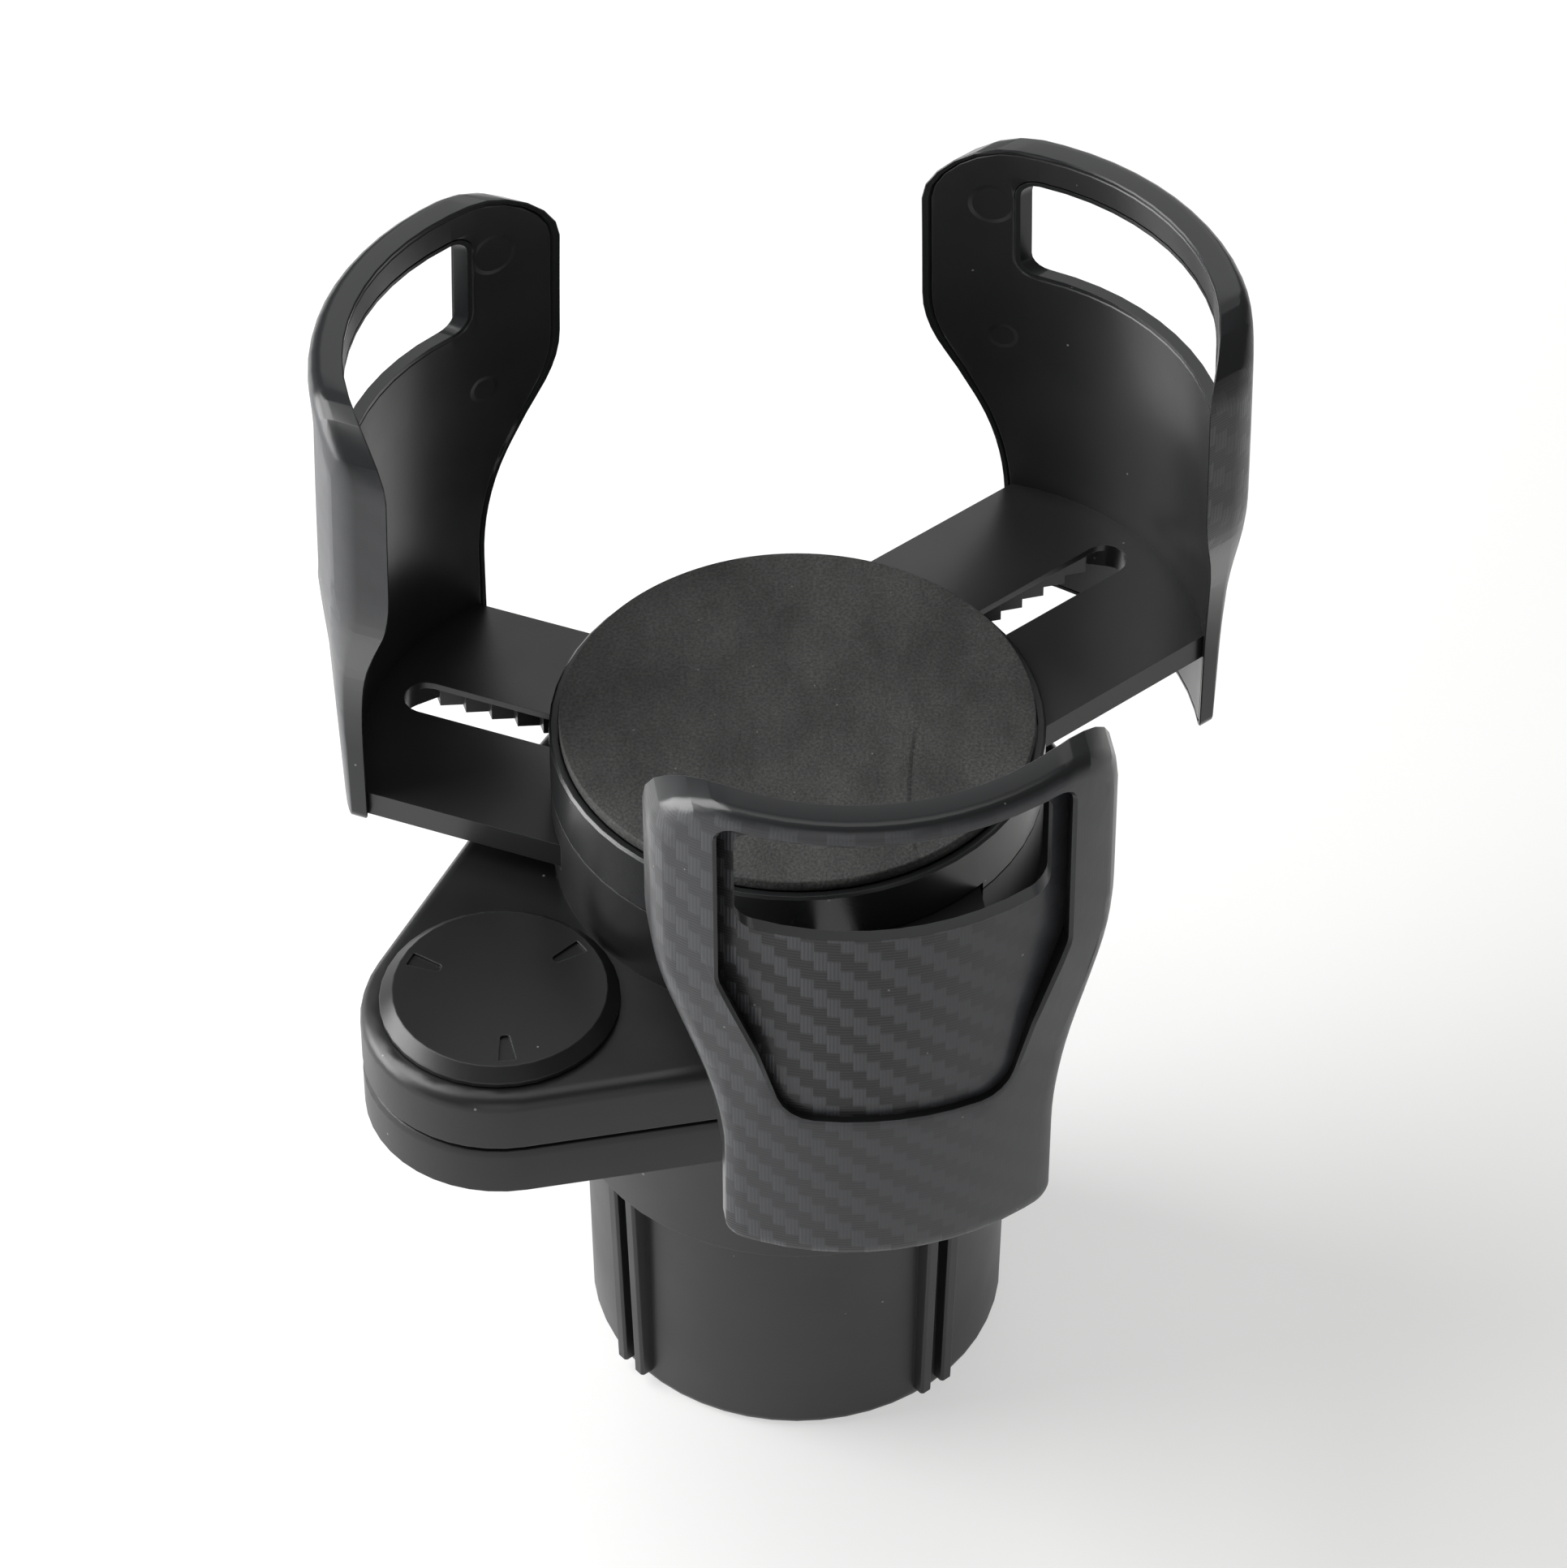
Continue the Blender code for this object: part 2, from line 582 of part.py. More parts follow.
def build_tray_pad(parts):
    """Soft disc that the cup stands on."""
    radius = HUB_RADIUS - HUB_LIP_WIDTH - PAD_CLEARANCE
    bottom = PAD_SEAT + GAP
    top = PAD_SEAT + PAD_THICKNESS
    edge = arc((radius - PAD_EDGE, top - PAD_EDGE), PAD_EDGE, math.pi / 2, 0.0, 3)
    profile = [(0.0, top)] + edge + [(radius, bottom), (0.0, bottom)]
    return turned("tray_pad", profile, TURN_STEPS, parts)


def build_pivot_cap(parts, cutters):
    """Round cap over the pivot's bolt, with three shallow marks in its face."""
    bottom = UPPER_TOP + GAP
    top = bottom + CAP_HEIGHT
    shoulder = bottom + CAP_LIP
    edge = [(CAP_FACE_RADIUS, top), (CAP_RADIUS, shoulder)]
    spigot = PIVOT_SEAT_RADIUS - GAP
    profile = [(0.0, top)] + edge + [(CAP_RADIUS, bottom), (spigot, bottom),
                                     (spigot, bottom - CAP_SPIGOT),
                                     (spigot - CAP_WALL, bottom - CAP_SPIGOT),
                                     (spigot - CAP_WALL, bottom + GAP), (0.0, bottom + GAP)]
    cap = turned("pivot_cap", profile, CAP_STEPS, parts, (PIVOT_X, PIVOT_Y))
    marks = []
    for i in range(3):
        inner = MARK_INNER_WIDTH / 2
        outer = MARK_OUTER_WIDTH / 2
        outline = rounded([(MARK_INNER_RADIUS, -inner, inner * 0.9),
                           (MARK_OUTER_RADIUS, -outer, inner * 0.3),
                           (MARK_OUTER_RADIUS, outer, inner * 0.3),
                           (MARK_INNER_RADIUS, inner, inner * 0.9)])
        mark = prism("mark", [outline], top - MARK_DEPTH, top + REACH, cutters)
        mark.rotation_euler.z = math.radians(MARK_FIRST_AZIMUTH + 120.0 * i)
        mark.location.x = PIVOT_X
        mark.location.y = PIVOT_Y
        marks.append(mark)
    add_boolean(cap, as_cutter(joined("cap_marks", marks, cutters)), "DIFFERENCE")
    return cap


def build_pivot_hardware(parts, cutters):
    """Bolt, washer and nut of the pivot."""
    pivot = (PIVOT_X, PIVOT_Y)
    seat = UPPER_TOP - PIVOT_SEAT_DEPTH
    washer_top = seat + GAP + PIVOT_WASHER_THICKNESS
    bore = PIVOT_BOLT_RADIUS + GAP
    washer = turned("pivot_washer", [(bore, washer_top), (PIVOT_WASHER_RADIUS, washer_top),
                                     (PIVOT_WASHER_RADIUS, seat + GAP), (bore, seat + GAP)],
                    SMALL_STEPS, parts, pivot)
    boss_foot = LOWER_BOTTOM + PIVOT_BOSS_LIFT
    nut_top = boss_foot - GAP
    nut_bottom = nut_top - PIVOT_NUT_HEIGHT
    nut = cylinder("pivot_nut", PIVOT_NUT_RADIUS, nut_bottom, nut_top, 6, parts, pivot)
    hole = cylinder("nut_bore", bore, nut_bottom - REACH, nut_top + REACH, SMALL_STEPS, cutters,
                    pivot)
    add_boolean(nut, as_cutter(hole), "DIFFERENCE")
    head_bottom = washer_top + GAP
    bolt = cylinder("pivot_bolt", PIVOT_HEAD_RADIUS, head_bottom,
                    head_bottom + PIVOT_HEAD_HEIGHT, 6, parts, pivot)
    shank = cylinder("bolt_shank", PIVOT_BOLT_RADIUS, nut_bottom - REACH / 2,
                     head_bottom + PIVOT_HEAD_HEIGHT / 2, SMALL_STEPS, cutters, pivot)
    add_boolean(bolt, as_cutter(shank), "UNION")
    return washer, nut, bolt


def build_screw(name, centre, seat, length, up, parts):
    """Pan head screw: its head rests on a seat, its shank points up or down."""
    turn = 1 if up else -1
    head = seat - turn * SCREW_HEAD_HEIGHT
    tip = seat + turn * length
    neck = SCREW_HEAD_RADIUS - SCREW_HEAD_HEIGHT / 3
    profile = [(0.0, head), (neck, head), (SCREW_HEAD_RADIUS, head + turn * SCREW_HEAD_HEIGHT / 3),
               (SCREW_HEAD_RADIUS, seat), (SCREW_RADIUS, seat),
               (SCREW_RADIUS, tip - turn * SCREW_RADIUS), (0.0, tip)]
    if up:
        profile.reverse()
    return turned(name, profile, SMALL_STEPS, parts, centre)


def arm_outline():
    """Arm from above, its slot open at the tail; x runs outward from the claw's inner face."""
    half = ARM_WIDTH / 2
    slot = SLOT_WIDTH / 2
    end_radius = CLAW_CURVE + CLAW_PLATE / 2
    spread = math.asin(half / end_radius)
    outline = arc((-CLAW_CURVE, 0.0), end_radius, -spread, spread, 12)
    wide = math.pi - math.asin(half / ARM_TAIL_RADIUS)
    narrow = math.pi - math.asin(slot / ARM_TAIL_RADIUS)
    outline += arc((-ARM_MIN_REACH, 0.0), ARM_TAIL_RADIUS, wide, narrow, 6)
    outline += arc((-SLOT_END - slot, 0.0), slot, math.pi / 2, -math.pi / 2, 8)
    outline += arc((-ARM_MIN_REACH, 0.0), ARM_TAIL_RADIUS, -narrow, -wide, 6)
    return outline


def tooth_outline(side):
    """Row of saw teeth along one wall of the slot: each widens towards the hub, then steps back."""
    wall = SLOT_WIDTH / 2
    first = -SLOT_END - wall * 0.3
    outline = [(first, side * wall * 0.7)]
    for i in range(1, TOOTH_COUNT + 1):
        step = -TOOTH_START - i * TOOTH_PITCH
        outline.append((step + TOOTH_STEP, side * (wall + TOOTH_DEPTH)))
        outline.append((step, side * wall))
    outline += [(step, side * (wall - REACH)), (first, side * (wall * 0.7 - REACH))]
    return outline


def mirrored(corners, inset=0.0):
    """Whole outline from the corners of its right half, bottom to top, moved inward by the inset."""
    whole = corners + [(-x, y, radius) for x, y, radius in reversed(corners)]
    return rounded(shrunk(whole, inset))


def claw_outline(inset):
    """Outline of the claw: a narrow foot, sloping shoulders and a broad rounded top."""
    top = CLAW_BOTTOM + CLAW_HEIGHT
    return mirrored([(CLAW_WAIST_WIDTH / 2, CLAW_BOTTOM, CLAW_FOOT_ROUND),
                     (CLAW_WAIST_WIDTH / 2, CLAW_BOTTOM + CLAW_WAIST, CLAW_WAIST_ROUND),
                     (CLAW_WIDTH / 2, CLAW_BOTTOM + CLAW_SHOULDER, CLAW_SHOULDER_ROUND),
                     (CLAW_WIDTH / 2, top, CLAW_TOP_ROUND)], inset)


def window_outline(inset):
    """Finger window near the claw's top."""
    bottom = CLAW_BOTTOM + WINDOW_BOTTOM
    return mirrored([(WINDOW_WIDTH / 2, bottom, WINDOW_ROUND),
                     (WINDOW_WIDTH / 2, bottom + WINDOW_HEIGHT, WINDOW_ROUND)], inset)


def recess_outline():
    """Shield shaped panel inside the cover's raised border."""
    return mirrored([(RECESS_FOOT_WIDTH / 2, CLAW_BOTTOM + RECESS_FOOT, RECESS_FOOT_ROUND),
                     (RECESS_WAIST_WIDTH / 2, CLAW_BOTTOM + RECESS_WAIST, RECESS_ROUND * 2),
                     (RECESS_WIDTH / 2, CLAW_BOTTOM + RECESS_SHOULDER, RECESS_ROUND),
                     (RECESS_WIDTH / 2, CLAW_BOTTOM + CLAW_HEIGHT - RECESS_TOP_MARGIN,
                      RECESS_ROUND)])


def rim_depth(height):
    """How far the cover's border stands out from the claw's inner face at a height."""
    rise = height - CLAW_BOTTOM
    if rise <= CLAW_WAIST:
        share = rise / CLAW_WAIST
        return COVER_FOOT_RIM + (COVER_WAIST_RIM - COVER_FOOT_RIM) * share
    share = min(1.0, (rise - CLAW_WAIST) / (COVER_THICK_FROM - CLAW_WAIST))
    return COVER_WAIST_RIM + (COVER_RIM - COVER_WAIST_RIM) * (1 - math.cos(math.pi * share)) / 2


def thin_rim(shape):
    """Bring a cover's flat front down to the border's depth at each height."""
    for vert in shape.verts:
        if vert.co.z > COVER_PANEL:
            share = (rim_depth(vert.co.y) - COVER_PANEL) / (COVER_RIM - COVER_PANEL)
            vert.co.z = COVER_PANEL + (vert.co.z - COVER_PANEL) * share


def bend(obj, is_cover):
    """Slice a flat claw piece into strips and bands, then wrap it round the cup's curve."""
    shape = bmesh.new()
    shape.from_mesh(obj.data)
    count = int(CLAW_WIDTH / 2 / CLAW_STRIP)
    strips = [(i * CLAW_STRIP, Vector((1.0, 0.0, 0.0))) for i in range(-count, count + 1)]
    bands = [(CLAW_BOTTOM + CLAW_LEAN_START + i * CLAW_BAND, Vector((0.0, 1.0, 0.0)))
             for i in range(int((CLAW_HEIGHT - CLAW_LEAN_START) / CLAW_BAND) + 1)]
    for place, normal in strips + bands:
        bmesh.ops.bisect_plane(shape, geom=shape.verts[:] + shape.edges[:] + shape.faces[:],
                               plane_co=normal * place, plane_no=normal, dist=1e-7)
    if is_cover:
        thin_rim(shape)
    for vert in shape.verts:
        across, height, depth = vert.co
        rise = max(0.0, height - CLAW_BOTTOM - CLAW_LEAN_START)
        lean = CLAW_LEAN * (rise / (CLAW_HEIGHT - CLAW_LEAN_START)) ** 2
        radius = CLAW_CURVE + depth
        vert.co = (math.sqrt(radius * radius - across * across) - CLAW_CURVE + lean, across,
                   height)
    bmesh.ops.remove_doubles(shape, verts=shape.verts, dist=1e-6)
    shape.to_mesh(obj.data)
    shape.free()
    return obj


def build_arm(side, parts, cutters):
    """Sliding arm moulded with the claw's inner plate."""
    name = "arm_" + side
    bottom = arm_bottom(side)
    top = bottom + ARM_THICKNESS
    arm = prism(name, [arm_outline()], bottom, top, parts)
    teeth = prism("teeth_" + side, [tooth_outline(1)], bottom - REACH, top - SLOT_LIP, cutters)
    more_teeth = prism("more_teeth_" + side, [tooth_outline(-1)], bottom - REACH,
                       top - SLOT_LIP, cutters)
    add_boolean(arm, joined("arm_teeth_" + side, [teeth, more_teeth], cutters), "DIFFERENCE")
    inset = COVER_LIP + COVER_FIT
    plate = prism("plate_" + side, [claw_outline(inset), window_outline(-inset)], 0.0, CLAW_PLATE,
                  cutters)
    round_rim(plate, 0.0, CLAW_PLATE_EDGE, 1, top=False)
    add_boolean(arm, bend(plate, False), "UNION")
    bake(arm)
    for helper in ("arm_teeth_" + side, "plate_" + side):
        bpy.data.objects.remove(bpy.data.objects[helper])
    return arm


def build_cover(side, parts, cutters):
    """Outer cover of a claw: raised border, recessed panel, window, and lips round the plate."""
    cover = prism("cover_" + side, [claw_outline(0.0)], 0.0, COVER_RIM, parts)
    round_rim(cover, COVER_RIM, COVER_EDGE_ROUND, 4)
    round_rim(cover, 0.0, COVER_LIP_EDGE, 1, top=False)
    recess = prism("recess_" + side, [recess_outline()], COVER_PANEL, COVER_RIM + REACH, cutters)
    window = prism("window_" + side, [window_outline(0.0)], -REACH, COVER_PANEL + REACH, cutters)
    pocket = prism("pocket_" + side, [claw_outline(COVER_LIP), window_outline(-COVER_LIP)],
                   -REACH, CLAW_PLATE + PARTING, cutters)
    for cutter in (recess, window, pocket):
        add_boolean(cover, cutter, "DIFFERENCE")
    bake(cover)
    for helper in (recess, window, pocket):
        bpy.data.objects.remove(helper)
    round_rim(cover, COVER_RIM, COVER_RECESS_ROUND, 1)
    return bend(cover, True)


def build_catch(side, parts):
    """Ratchet catch that stands in an arm's slot, its two noses facing the teeth."""
    low = arm_bottom(side)
    nose_top = low + ARM_THICKNESS - SLOT_LIP - GAP
    half = CATCH_WIDTH / 2
    body = box("catch_" + side, (CATCH_INNER, -half, HUB_FLOOR + GAP),
               (CATCH_INNER + CATCH_LENGTH, half, low + ARM_THICKNESS - GAP), parts)
    middle = CATCH_INNER + CATCH_LENGTH / 2
    nose = box("nose_" + side, (middle - CATCH_NOSE * 2, -half - CATCH_NOSE, low + GAP),
               (middle + CATCH_NOSE * 2, half + CATCH_NOSE, nose_top), parts)
    add_boolean(body, nose, "UNION")
    bake(body)
    bpy.data.objects.remove(nose)
    return body


def parent_to(obj, empty):
    """Parent an object to an empty and leave it where it lies."""
    bpy.context.view_layer.update()
    obj.parent = empty
    obj.matrix_parent_inverse = empty.matrix_world.inverted()


def finish(obj, material):
    """Give an object its material and soft shading."""
    obj.data.materials.clear()
    obj.data.materials.append(material)
    obj.data.shade_smooth()
    obj.data.set_sharp_from_angle(angle=math.radians(32))


def main():
    clear_scene()
    parts = new_collection("cup_holder_expander")
    cutters = new_collection("cutters")
    black = make_material("moulded_black", BLACK, 0.38)
    satin = make_material("satin_black", SATIN, 0.42)
    weave = make_material("woven_black", WEAVE, 0.40)
    rubber = make_material("pad_rubber", RUBBER, 0.85)
    steel = make_material("zinc_steel", STEEL, 0.35, 1.0)

    swing = bpy.data.objects.new("swing", None)
    swing.location = PIVOT
    parts.objects.link(swing)

    washer, nut, bolt = build_pivot_hardware(parts, cutters)
    fixed = {build_base_cup(parts, cutters): black, build_lower_plate(parts, cutters): satin,
             nut: steel, bolt: steel, washer: steel}
    screw_seat = LOWER_TOP - SCREW_HEAD_HEIGHT - GAP
    for i, centre in enumerate(base_screw_places()):
        screw = build_screw(f"base_screw_{i + 1}", centre, screw_seat, BASE_SCREW_LENGTH, False,
                            parts)
        fixed[screw] = steel

    hub_screw = build_screw("hub_screw", (0.0, 0.0),
                            UPPER_BOTTOM + SCREW_HEAD_HEIGHT + GAP, HUB_SCREW_LENGTH, True, parts)
    swinging = {build_upper_plate(parts, cutters): satin, build_hub_cap(parts, cutters): black,
                build_tray_pad(parts): rubber, build_pivot_cap(parts, cutters): satin,
                hub_screw: steel}
    for obj in swinging:
        parent_to(obj, swing)

    sliding = {}
    for side, azimuth in ARM_AZIMUTHS.items():
        turn = Matrix.Rotation(math.radians(azimuth), 4, "Z")
        catch = build_catch(side, parts)
        catch.matrix_world = turn
        swinging[catch] = satin
        parent_to(catch, swing)
        slide = bpy.data.objects.new("slide_" + side, None)
        parts.objects.link(slide)
        slide.matrix_world = turn @ Matrix.Translation((ARM_REACH[side], 0.0, 0.0))
        parent_to(slide, swing)
        for obj, material in ((build_arm(side, parts, cutters), satin),
                              (build_cover(side, parts, cutters), weave)):
            obj.parent = slide
            sliding[obj] = material

    for group in (fixed, swinging, sliding):
        for obj, material in group.items():
            finish(obj, material)
    bpy.context.view_layer.update()


main()
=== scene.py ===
"""Looks, stage and camera of a car cup holder expander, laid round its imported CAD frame."""

import math
from collections import namedtuple

import bmesh
import bpy
from bpy.props import FloatProperty, FloatVectorProperty, PointerProperty
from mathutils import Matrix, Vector, noise


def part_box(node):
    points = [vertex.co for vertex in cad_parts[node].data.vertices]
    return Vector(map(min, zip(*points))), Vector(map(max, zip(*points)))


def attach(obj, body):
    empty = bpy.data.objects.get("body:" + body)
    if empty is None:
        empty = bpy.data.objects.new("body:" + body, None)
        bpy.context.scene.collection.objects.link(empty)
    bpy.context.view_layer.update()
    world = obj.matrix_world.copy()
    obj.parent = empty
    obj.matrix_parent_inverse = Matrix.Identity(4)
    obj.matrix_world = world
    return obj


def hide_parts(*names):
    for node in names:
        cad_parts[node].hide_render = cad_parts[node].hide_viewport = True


bl_info = {
    "name": "Cup Holder Expander Looks",
    "version": (1, 0, 0),
    "blender": (4, 5, 0),
    "location": "View3D > Sidebar > Cup Holder",
    "description": "Finishes, tray pad, stage and camera of a car cup holder expander",
    "category": "Object",
}

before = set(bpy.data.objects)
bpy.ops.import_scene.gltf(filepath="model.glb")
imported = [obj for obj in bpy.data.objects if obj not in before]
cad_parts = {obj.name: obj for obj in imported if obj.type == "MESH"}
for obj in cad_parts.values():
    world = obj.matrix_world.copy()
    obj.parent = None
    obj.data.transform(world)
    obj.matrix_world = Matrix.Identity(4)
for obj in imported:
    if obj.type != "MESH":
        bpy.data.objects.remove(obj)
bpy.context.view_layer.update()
PAD_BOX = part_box("tray_pad")
PAD_MIDDLE = (PAD_BOX[0] + PAD_BOX[1]) / 2

# Each claw's direction from the hub in degrees, and its inner face's distance from the hub's axis.
CLAWS = {"left": (158.9, 0.0703), "front": (-80.8, 0.0874), "right": (39.2, 0.0703)}
# Radius of the claws' inner faces, and of the covers' outer faces that the twill is wrapped on.
CLAW_CURVE = 0.0398
COVER_CURVE = 0.0428
# How far below that radius a cover's face is sunken panel, and how far it is still border.
PANEL_SUNK = 0.0008
BORDER_SUNK = 0.0003
TWILL_DEPTH = 0.00012
# How light the film is where its twill fades out, on the border and in the painted sheen fade
# to the claw's right, from the weft's grey at 0 to the warp's at 1.
FADED_TWILL_TONE = 0.8

# Ejector pin marks inside each claw: distance round it from its middle, height and radius.
PIN_MARKS = ((0.0289, 0.1810, 0.0038), (0.0266, 0.1545, 0.0025))
PIN_EDGE = 0.0007
PIN_DEPTH = 0.00012
# A spark eroded mould's grain is about 0.1 mm. Here and on the ABS it is drawn five to eight times
# as coarse, so that it shows.
CLAW_GRAIN = 0.0006
CLAW_GRAIN_DEPTH = 0.000008
# Length of the slow changes that the plastic's flow leaves, and how near another face has to be
# for a corner to count as closed in.
FLOW_MARK = 0.02222
CORNER_REACH = 0.003

# The rubber's speckle is about 0.2 mm, and is drawn coarser so that it shows.
RUBBER_SPECK = 0.0005
RUBBER_SMUDGE = 0.00909
RUBBER_DEPTH = 0.00018
# The pad's fold line: its middle, half its length, how far it bows and how wide each side fades.
FOLD_MIDDLE = (0.0172, -0.01803)
FOLD_HALF = 0.01515
FOLD_BOW = 0.0012
FOLD_FADE = 0.0006

# Size of the mottles in the zinc's bloom and of the paper's tooth, both coarser than real ones.
ZINC_BLOOM = 0.001111
ZINC_DEPTH = 0.00002
PAPER_TOOTH = 0.0025
PAPER_DEPTH = 0.00005

# Specks 0.4 mm across on the mouldings and 0.3 mm on the pad: cells in a metre, a speck's radius in
# cells, and the share of the cells that stay bare.
DUST = (210.0, 0.045, 0.62)
LINT = (330.0, 0.05, 0.70)
WORN_GREY = "6A6A6A"
DUST_GREY = "8C8A86"
LINT_GREY = "8A8984"
# The black that the painted shade in closed-in corners darkens towards.
CORNER_SHADE_BLACK = "080808"
MouldedSkin = namedtuple("MouldedSkin", "grain flow dust normal edge hollow")

# The frame's meshes are joined where their points meet, and shaded as one curve up to this angle.
MERGE_DISTANCE = 0.000001
SMOOTH_ANGLE = math.radians(32)
# The pad's steps round it, up its rounded edge and in over its top, and the size of its waves.
PAD_STEPS = 128
PAD_ARC_STEPS = 5
PAD_RINGS = 25
PAD_FOOT = 0.0006
PAD_WAVE = 0.01818

FLOOR_HALF = 3.0
# The floor lies just under the base cup, so that the two faces don't flicker.
FLOOR_HEIGHT = -0.00005
# The floor's own glow: its share of the floor's light, its colours, and where it falls off.
GLOW_SHARE = 0.60
GLOW_FAR = "FFFFFF"
GLOW_NEAR = "DAD9D8"
GLOW_FALL = (-0.10, 0.22)
LAMP_SIZE = 0.9
LAMP_AIM = (0.0, 0.0, 0.1)
LAMPS = {
    "key": (-0.95, 0.10, 1.15),
    "low": (-1.25, 0.10, 0.28),
    "front": (0.00, -1.25, 0.35),
    "back": (0.10, 1.15, 0.80),
    "top": (0.00, 0.05, 1.50),
}


def linear(code):
    """Turns an sRGB hex colour to the linear values that Blender works in."""
    levels = [int(code[at:at + 2], 16) / 255 for at in (0, 2, 4)]
    return tuple(v / 12.92 if v <= 0.04045 else ((v + 0.055) / 1.055) ** 2.4 for v in levels)


def opaque(colour):
    """The colour with full alpha, as a node's colour socket takes it."""
    return (*colour, 1.0)


# Settings

class ExpanderColours(bpy.types.PropertyGroup):
    """The colours that the mouldings, the pad and the fasteners are made in."""

    base_black: FloatVectorProperty(
        name="Base Cup", description="Black of the base cup's moulding",
        subtype="COLOR", min=0.0, max=1.0, default=linear("1B1B1C"))
    plate_black: FloatVectorProperty(
        name="Plates and Knob", description="Black of the teardrop plates and the pivot cap",
        subtype="COLOR", min=0.0, max=1.0, default=linear("141415"))
    hub_black: FloatVectorProperty(
        name="Hub Ring", description="Black of the hub's smooth upper ring",
        subtype="COLOR", min=0.0, max=1.0, default=linear("141516"))
    arm_black: FloatVectorProperty(
        name="Arms", description="Black of the sliding arms and the claws' inner faces",
        subtype="COLOR", min=0.0, max=1.0, default=linear("1B1B1C"))
    warp_grey: FloatVectorProperty(
        name="Twill Warp", description="Lighter bundles of the twill on the claw covers",
        subtype="COLOR", min=0.0, max=1.0, default=linear("3A3B3E"))
    weft_grey: FloatVectorProperty(
        name="Twill Weft", description="Darker bundles of the twill on the claw covers",
        subtype="COLOR", min=0.0, max=1.0, default=linear("1D1D1F"))
    rim_black: FloatVectorProperty(
        name="Cover Rims",
        description="Black of the claw covers' rims, where the film is stretched",
        subtype="COLOR", min=0.0, max=1.0, default=linear("1C1D1E"))
    pad_grey: FloatVectorProperty(
        name="Tray Pad", description="Charcoal of the rubber pad that the cup stands on",
        subtype="COLOR", min=0.0, max=1.0, default=linear("343433"))
    zinc_grey: FloatVectorProperty(
        name="Fasteners", description="Zinc plating of the screws, nut and bolt",
        subtype="COLOR", min=0.0, max=1.0, default=linear("B9BCBE"))


class ExpanderSizes(bpy.types.PropertyGroup):
    """The sizes of what the looks add to the frame."""

    twill_column: FloatProperty(
        name="Twill Column", description="Width of one bundle of the twill, round the claw",
        unit="LENGTH", precision=5, min=0.0005, max=0.01, default=0.001953)
    twill_step: FloatProperty(
        name="Twill Step", description="How far the pattern drops from one bundle to the next",
        unit="LENGTH", precision=5, min=0.0, max=0.01, default=0.001792)
    twill_repeat: FloatProperty(
        name="Twill Repeat", description="Height after which the twill repeats",
        unit="LENGTH", precision=5, min=0.001, max=0.03, default=0.0073)
    twill_start: FloatProperty(
        name="Twill Start", description="Where the pattern starts, round the claw from its middle",
        unit="LENGTH", precision=5, min=-0.01, max=0.01, default=0.00111)
    twill_rise: FloatProperty(
        name="Twill Rise", description="Share of a repeat by which the pattern is lifted",
        subtype="FACTOR", min=0.0, max=1.0, default=0.513)
    fibre_pitch: FloatProperty(
        name="Fibre Pitch", description="Spacing of the fine threads drawn in each bundle",
        unit="LENGTH", precision=5, min=0.0002, max=0.002, default=0.00055)
    pad_round: FloatProperty(
        name="Pad Edge Round", description="Radius of the pad's upper edge",
        unit="LENGTH", precision=5, min=0.0002, max=0.0015, default=0.0003)
    pad_ripple: FloatProperty(
        name="Pad Ripple", description="How much the pad's top waves where it was pressed in",
        unit="LENGTH", precision=5, min=0.0, max=0.0004, default=0.00012)
    edge_round: FloatProperty(
        name="Mould Edge", description="Radius that catches the light on the mouldings' edges",
        unit="LENGTH", precision=5, min=0.0, max=0.001, default=0.00035)
    lip_round: FloatProperty(
        name="Claw Edge", description="Radius that catches the light on the claws' thin lips",
        unit="LENGTH", precision=5, min=0.0, max=0.001, default=0.00012)


class ExpanderStage(bpy.types.PropertyGroup):
    """The camera, the floor and the lamps."""

    camera_place: FloatVectorProperty(
        name="Camera Place", description="Where the camera stands",
        subtype="TRANSLATION", unit="LENGTH", precision=5, default=(-0.00215, -0.7491, 0.8406))
    camera_tilt: FloatProperty(
        name="Camera Tilt", description="Camera's tilt up from looking straight down",
        subtype="ANGLE", default=math.radians(45.83))
    camera_lens: FloatProperty(
        name="Lens", description="Focal length on a 36 mm sensor",
        unit="CAMERA", min=20, max=300, default=155)
    floor_white: FloatVectorProperty(
        name="Floor", description="Colour of the floor in the light",
        subtype="COLOR", min=0.0, max=1.0, default=linear("F4F4F3"))
    key_watts: FloatProperty(
        name="Key Lamp", description="Power of the large lamp high on the left",
        unit="POWER", min=0, max=100, default=22)
    low_watts: FloatProperty(
        name="Low Lamp", description="Power of the low lamp on the left",
        unit="POWER", min=0, max=100, default=25)
    front_watts: FloatProperty(
        name="Front Lamp", description="Power of the low lamp in front",
        unit="POWER", min=0, max=100, default=3)
    back_watts: FloatProperty(
        name="Back Lamp", description="Power of the lamp behind",
        unit="POWER", min=0, max=100, default=3)
    top_watts: FloatProperty(
        name="Top Lamp", description="Power of the lamp straight above",
        unit="POWER", min=0, max=100, default=4)
    sky_strength: FloatProperty(
        name="Sky", description="Strength of the even light from all round",
        min=0, max=2, default=0.20)


# Finishes

def add(tree, kind, inputs=(), **settings):
    """Adds one node with its settings, and sets or links its inputs.

    A list fills the sockets that the settings leave in use, in their order, and a dict fills them
    by name. A node given as a value is linked from its first output in use.
    """
    made = tree.nodes.new(kind)
    for name, value in settings.items():
        setattr(made, name, value)
    if not isinstance(inputs, dict):
        in_use = [at for at, socket in enumerate(made.inputs) if socket.enabled]
        inputs = dict(zip(in_use, inputs))
    for name, value in inputs.items():
        if isinstance(value, bpy.types.Node):
            value = next(socket for socket in value.outputs if socket.enabled)
        if isinstance(value, bpy.types.NodeSocket):
            tree.links.new(value, made.inputs[name])
        else:
            made.inputs[name].default_value = value
    return made


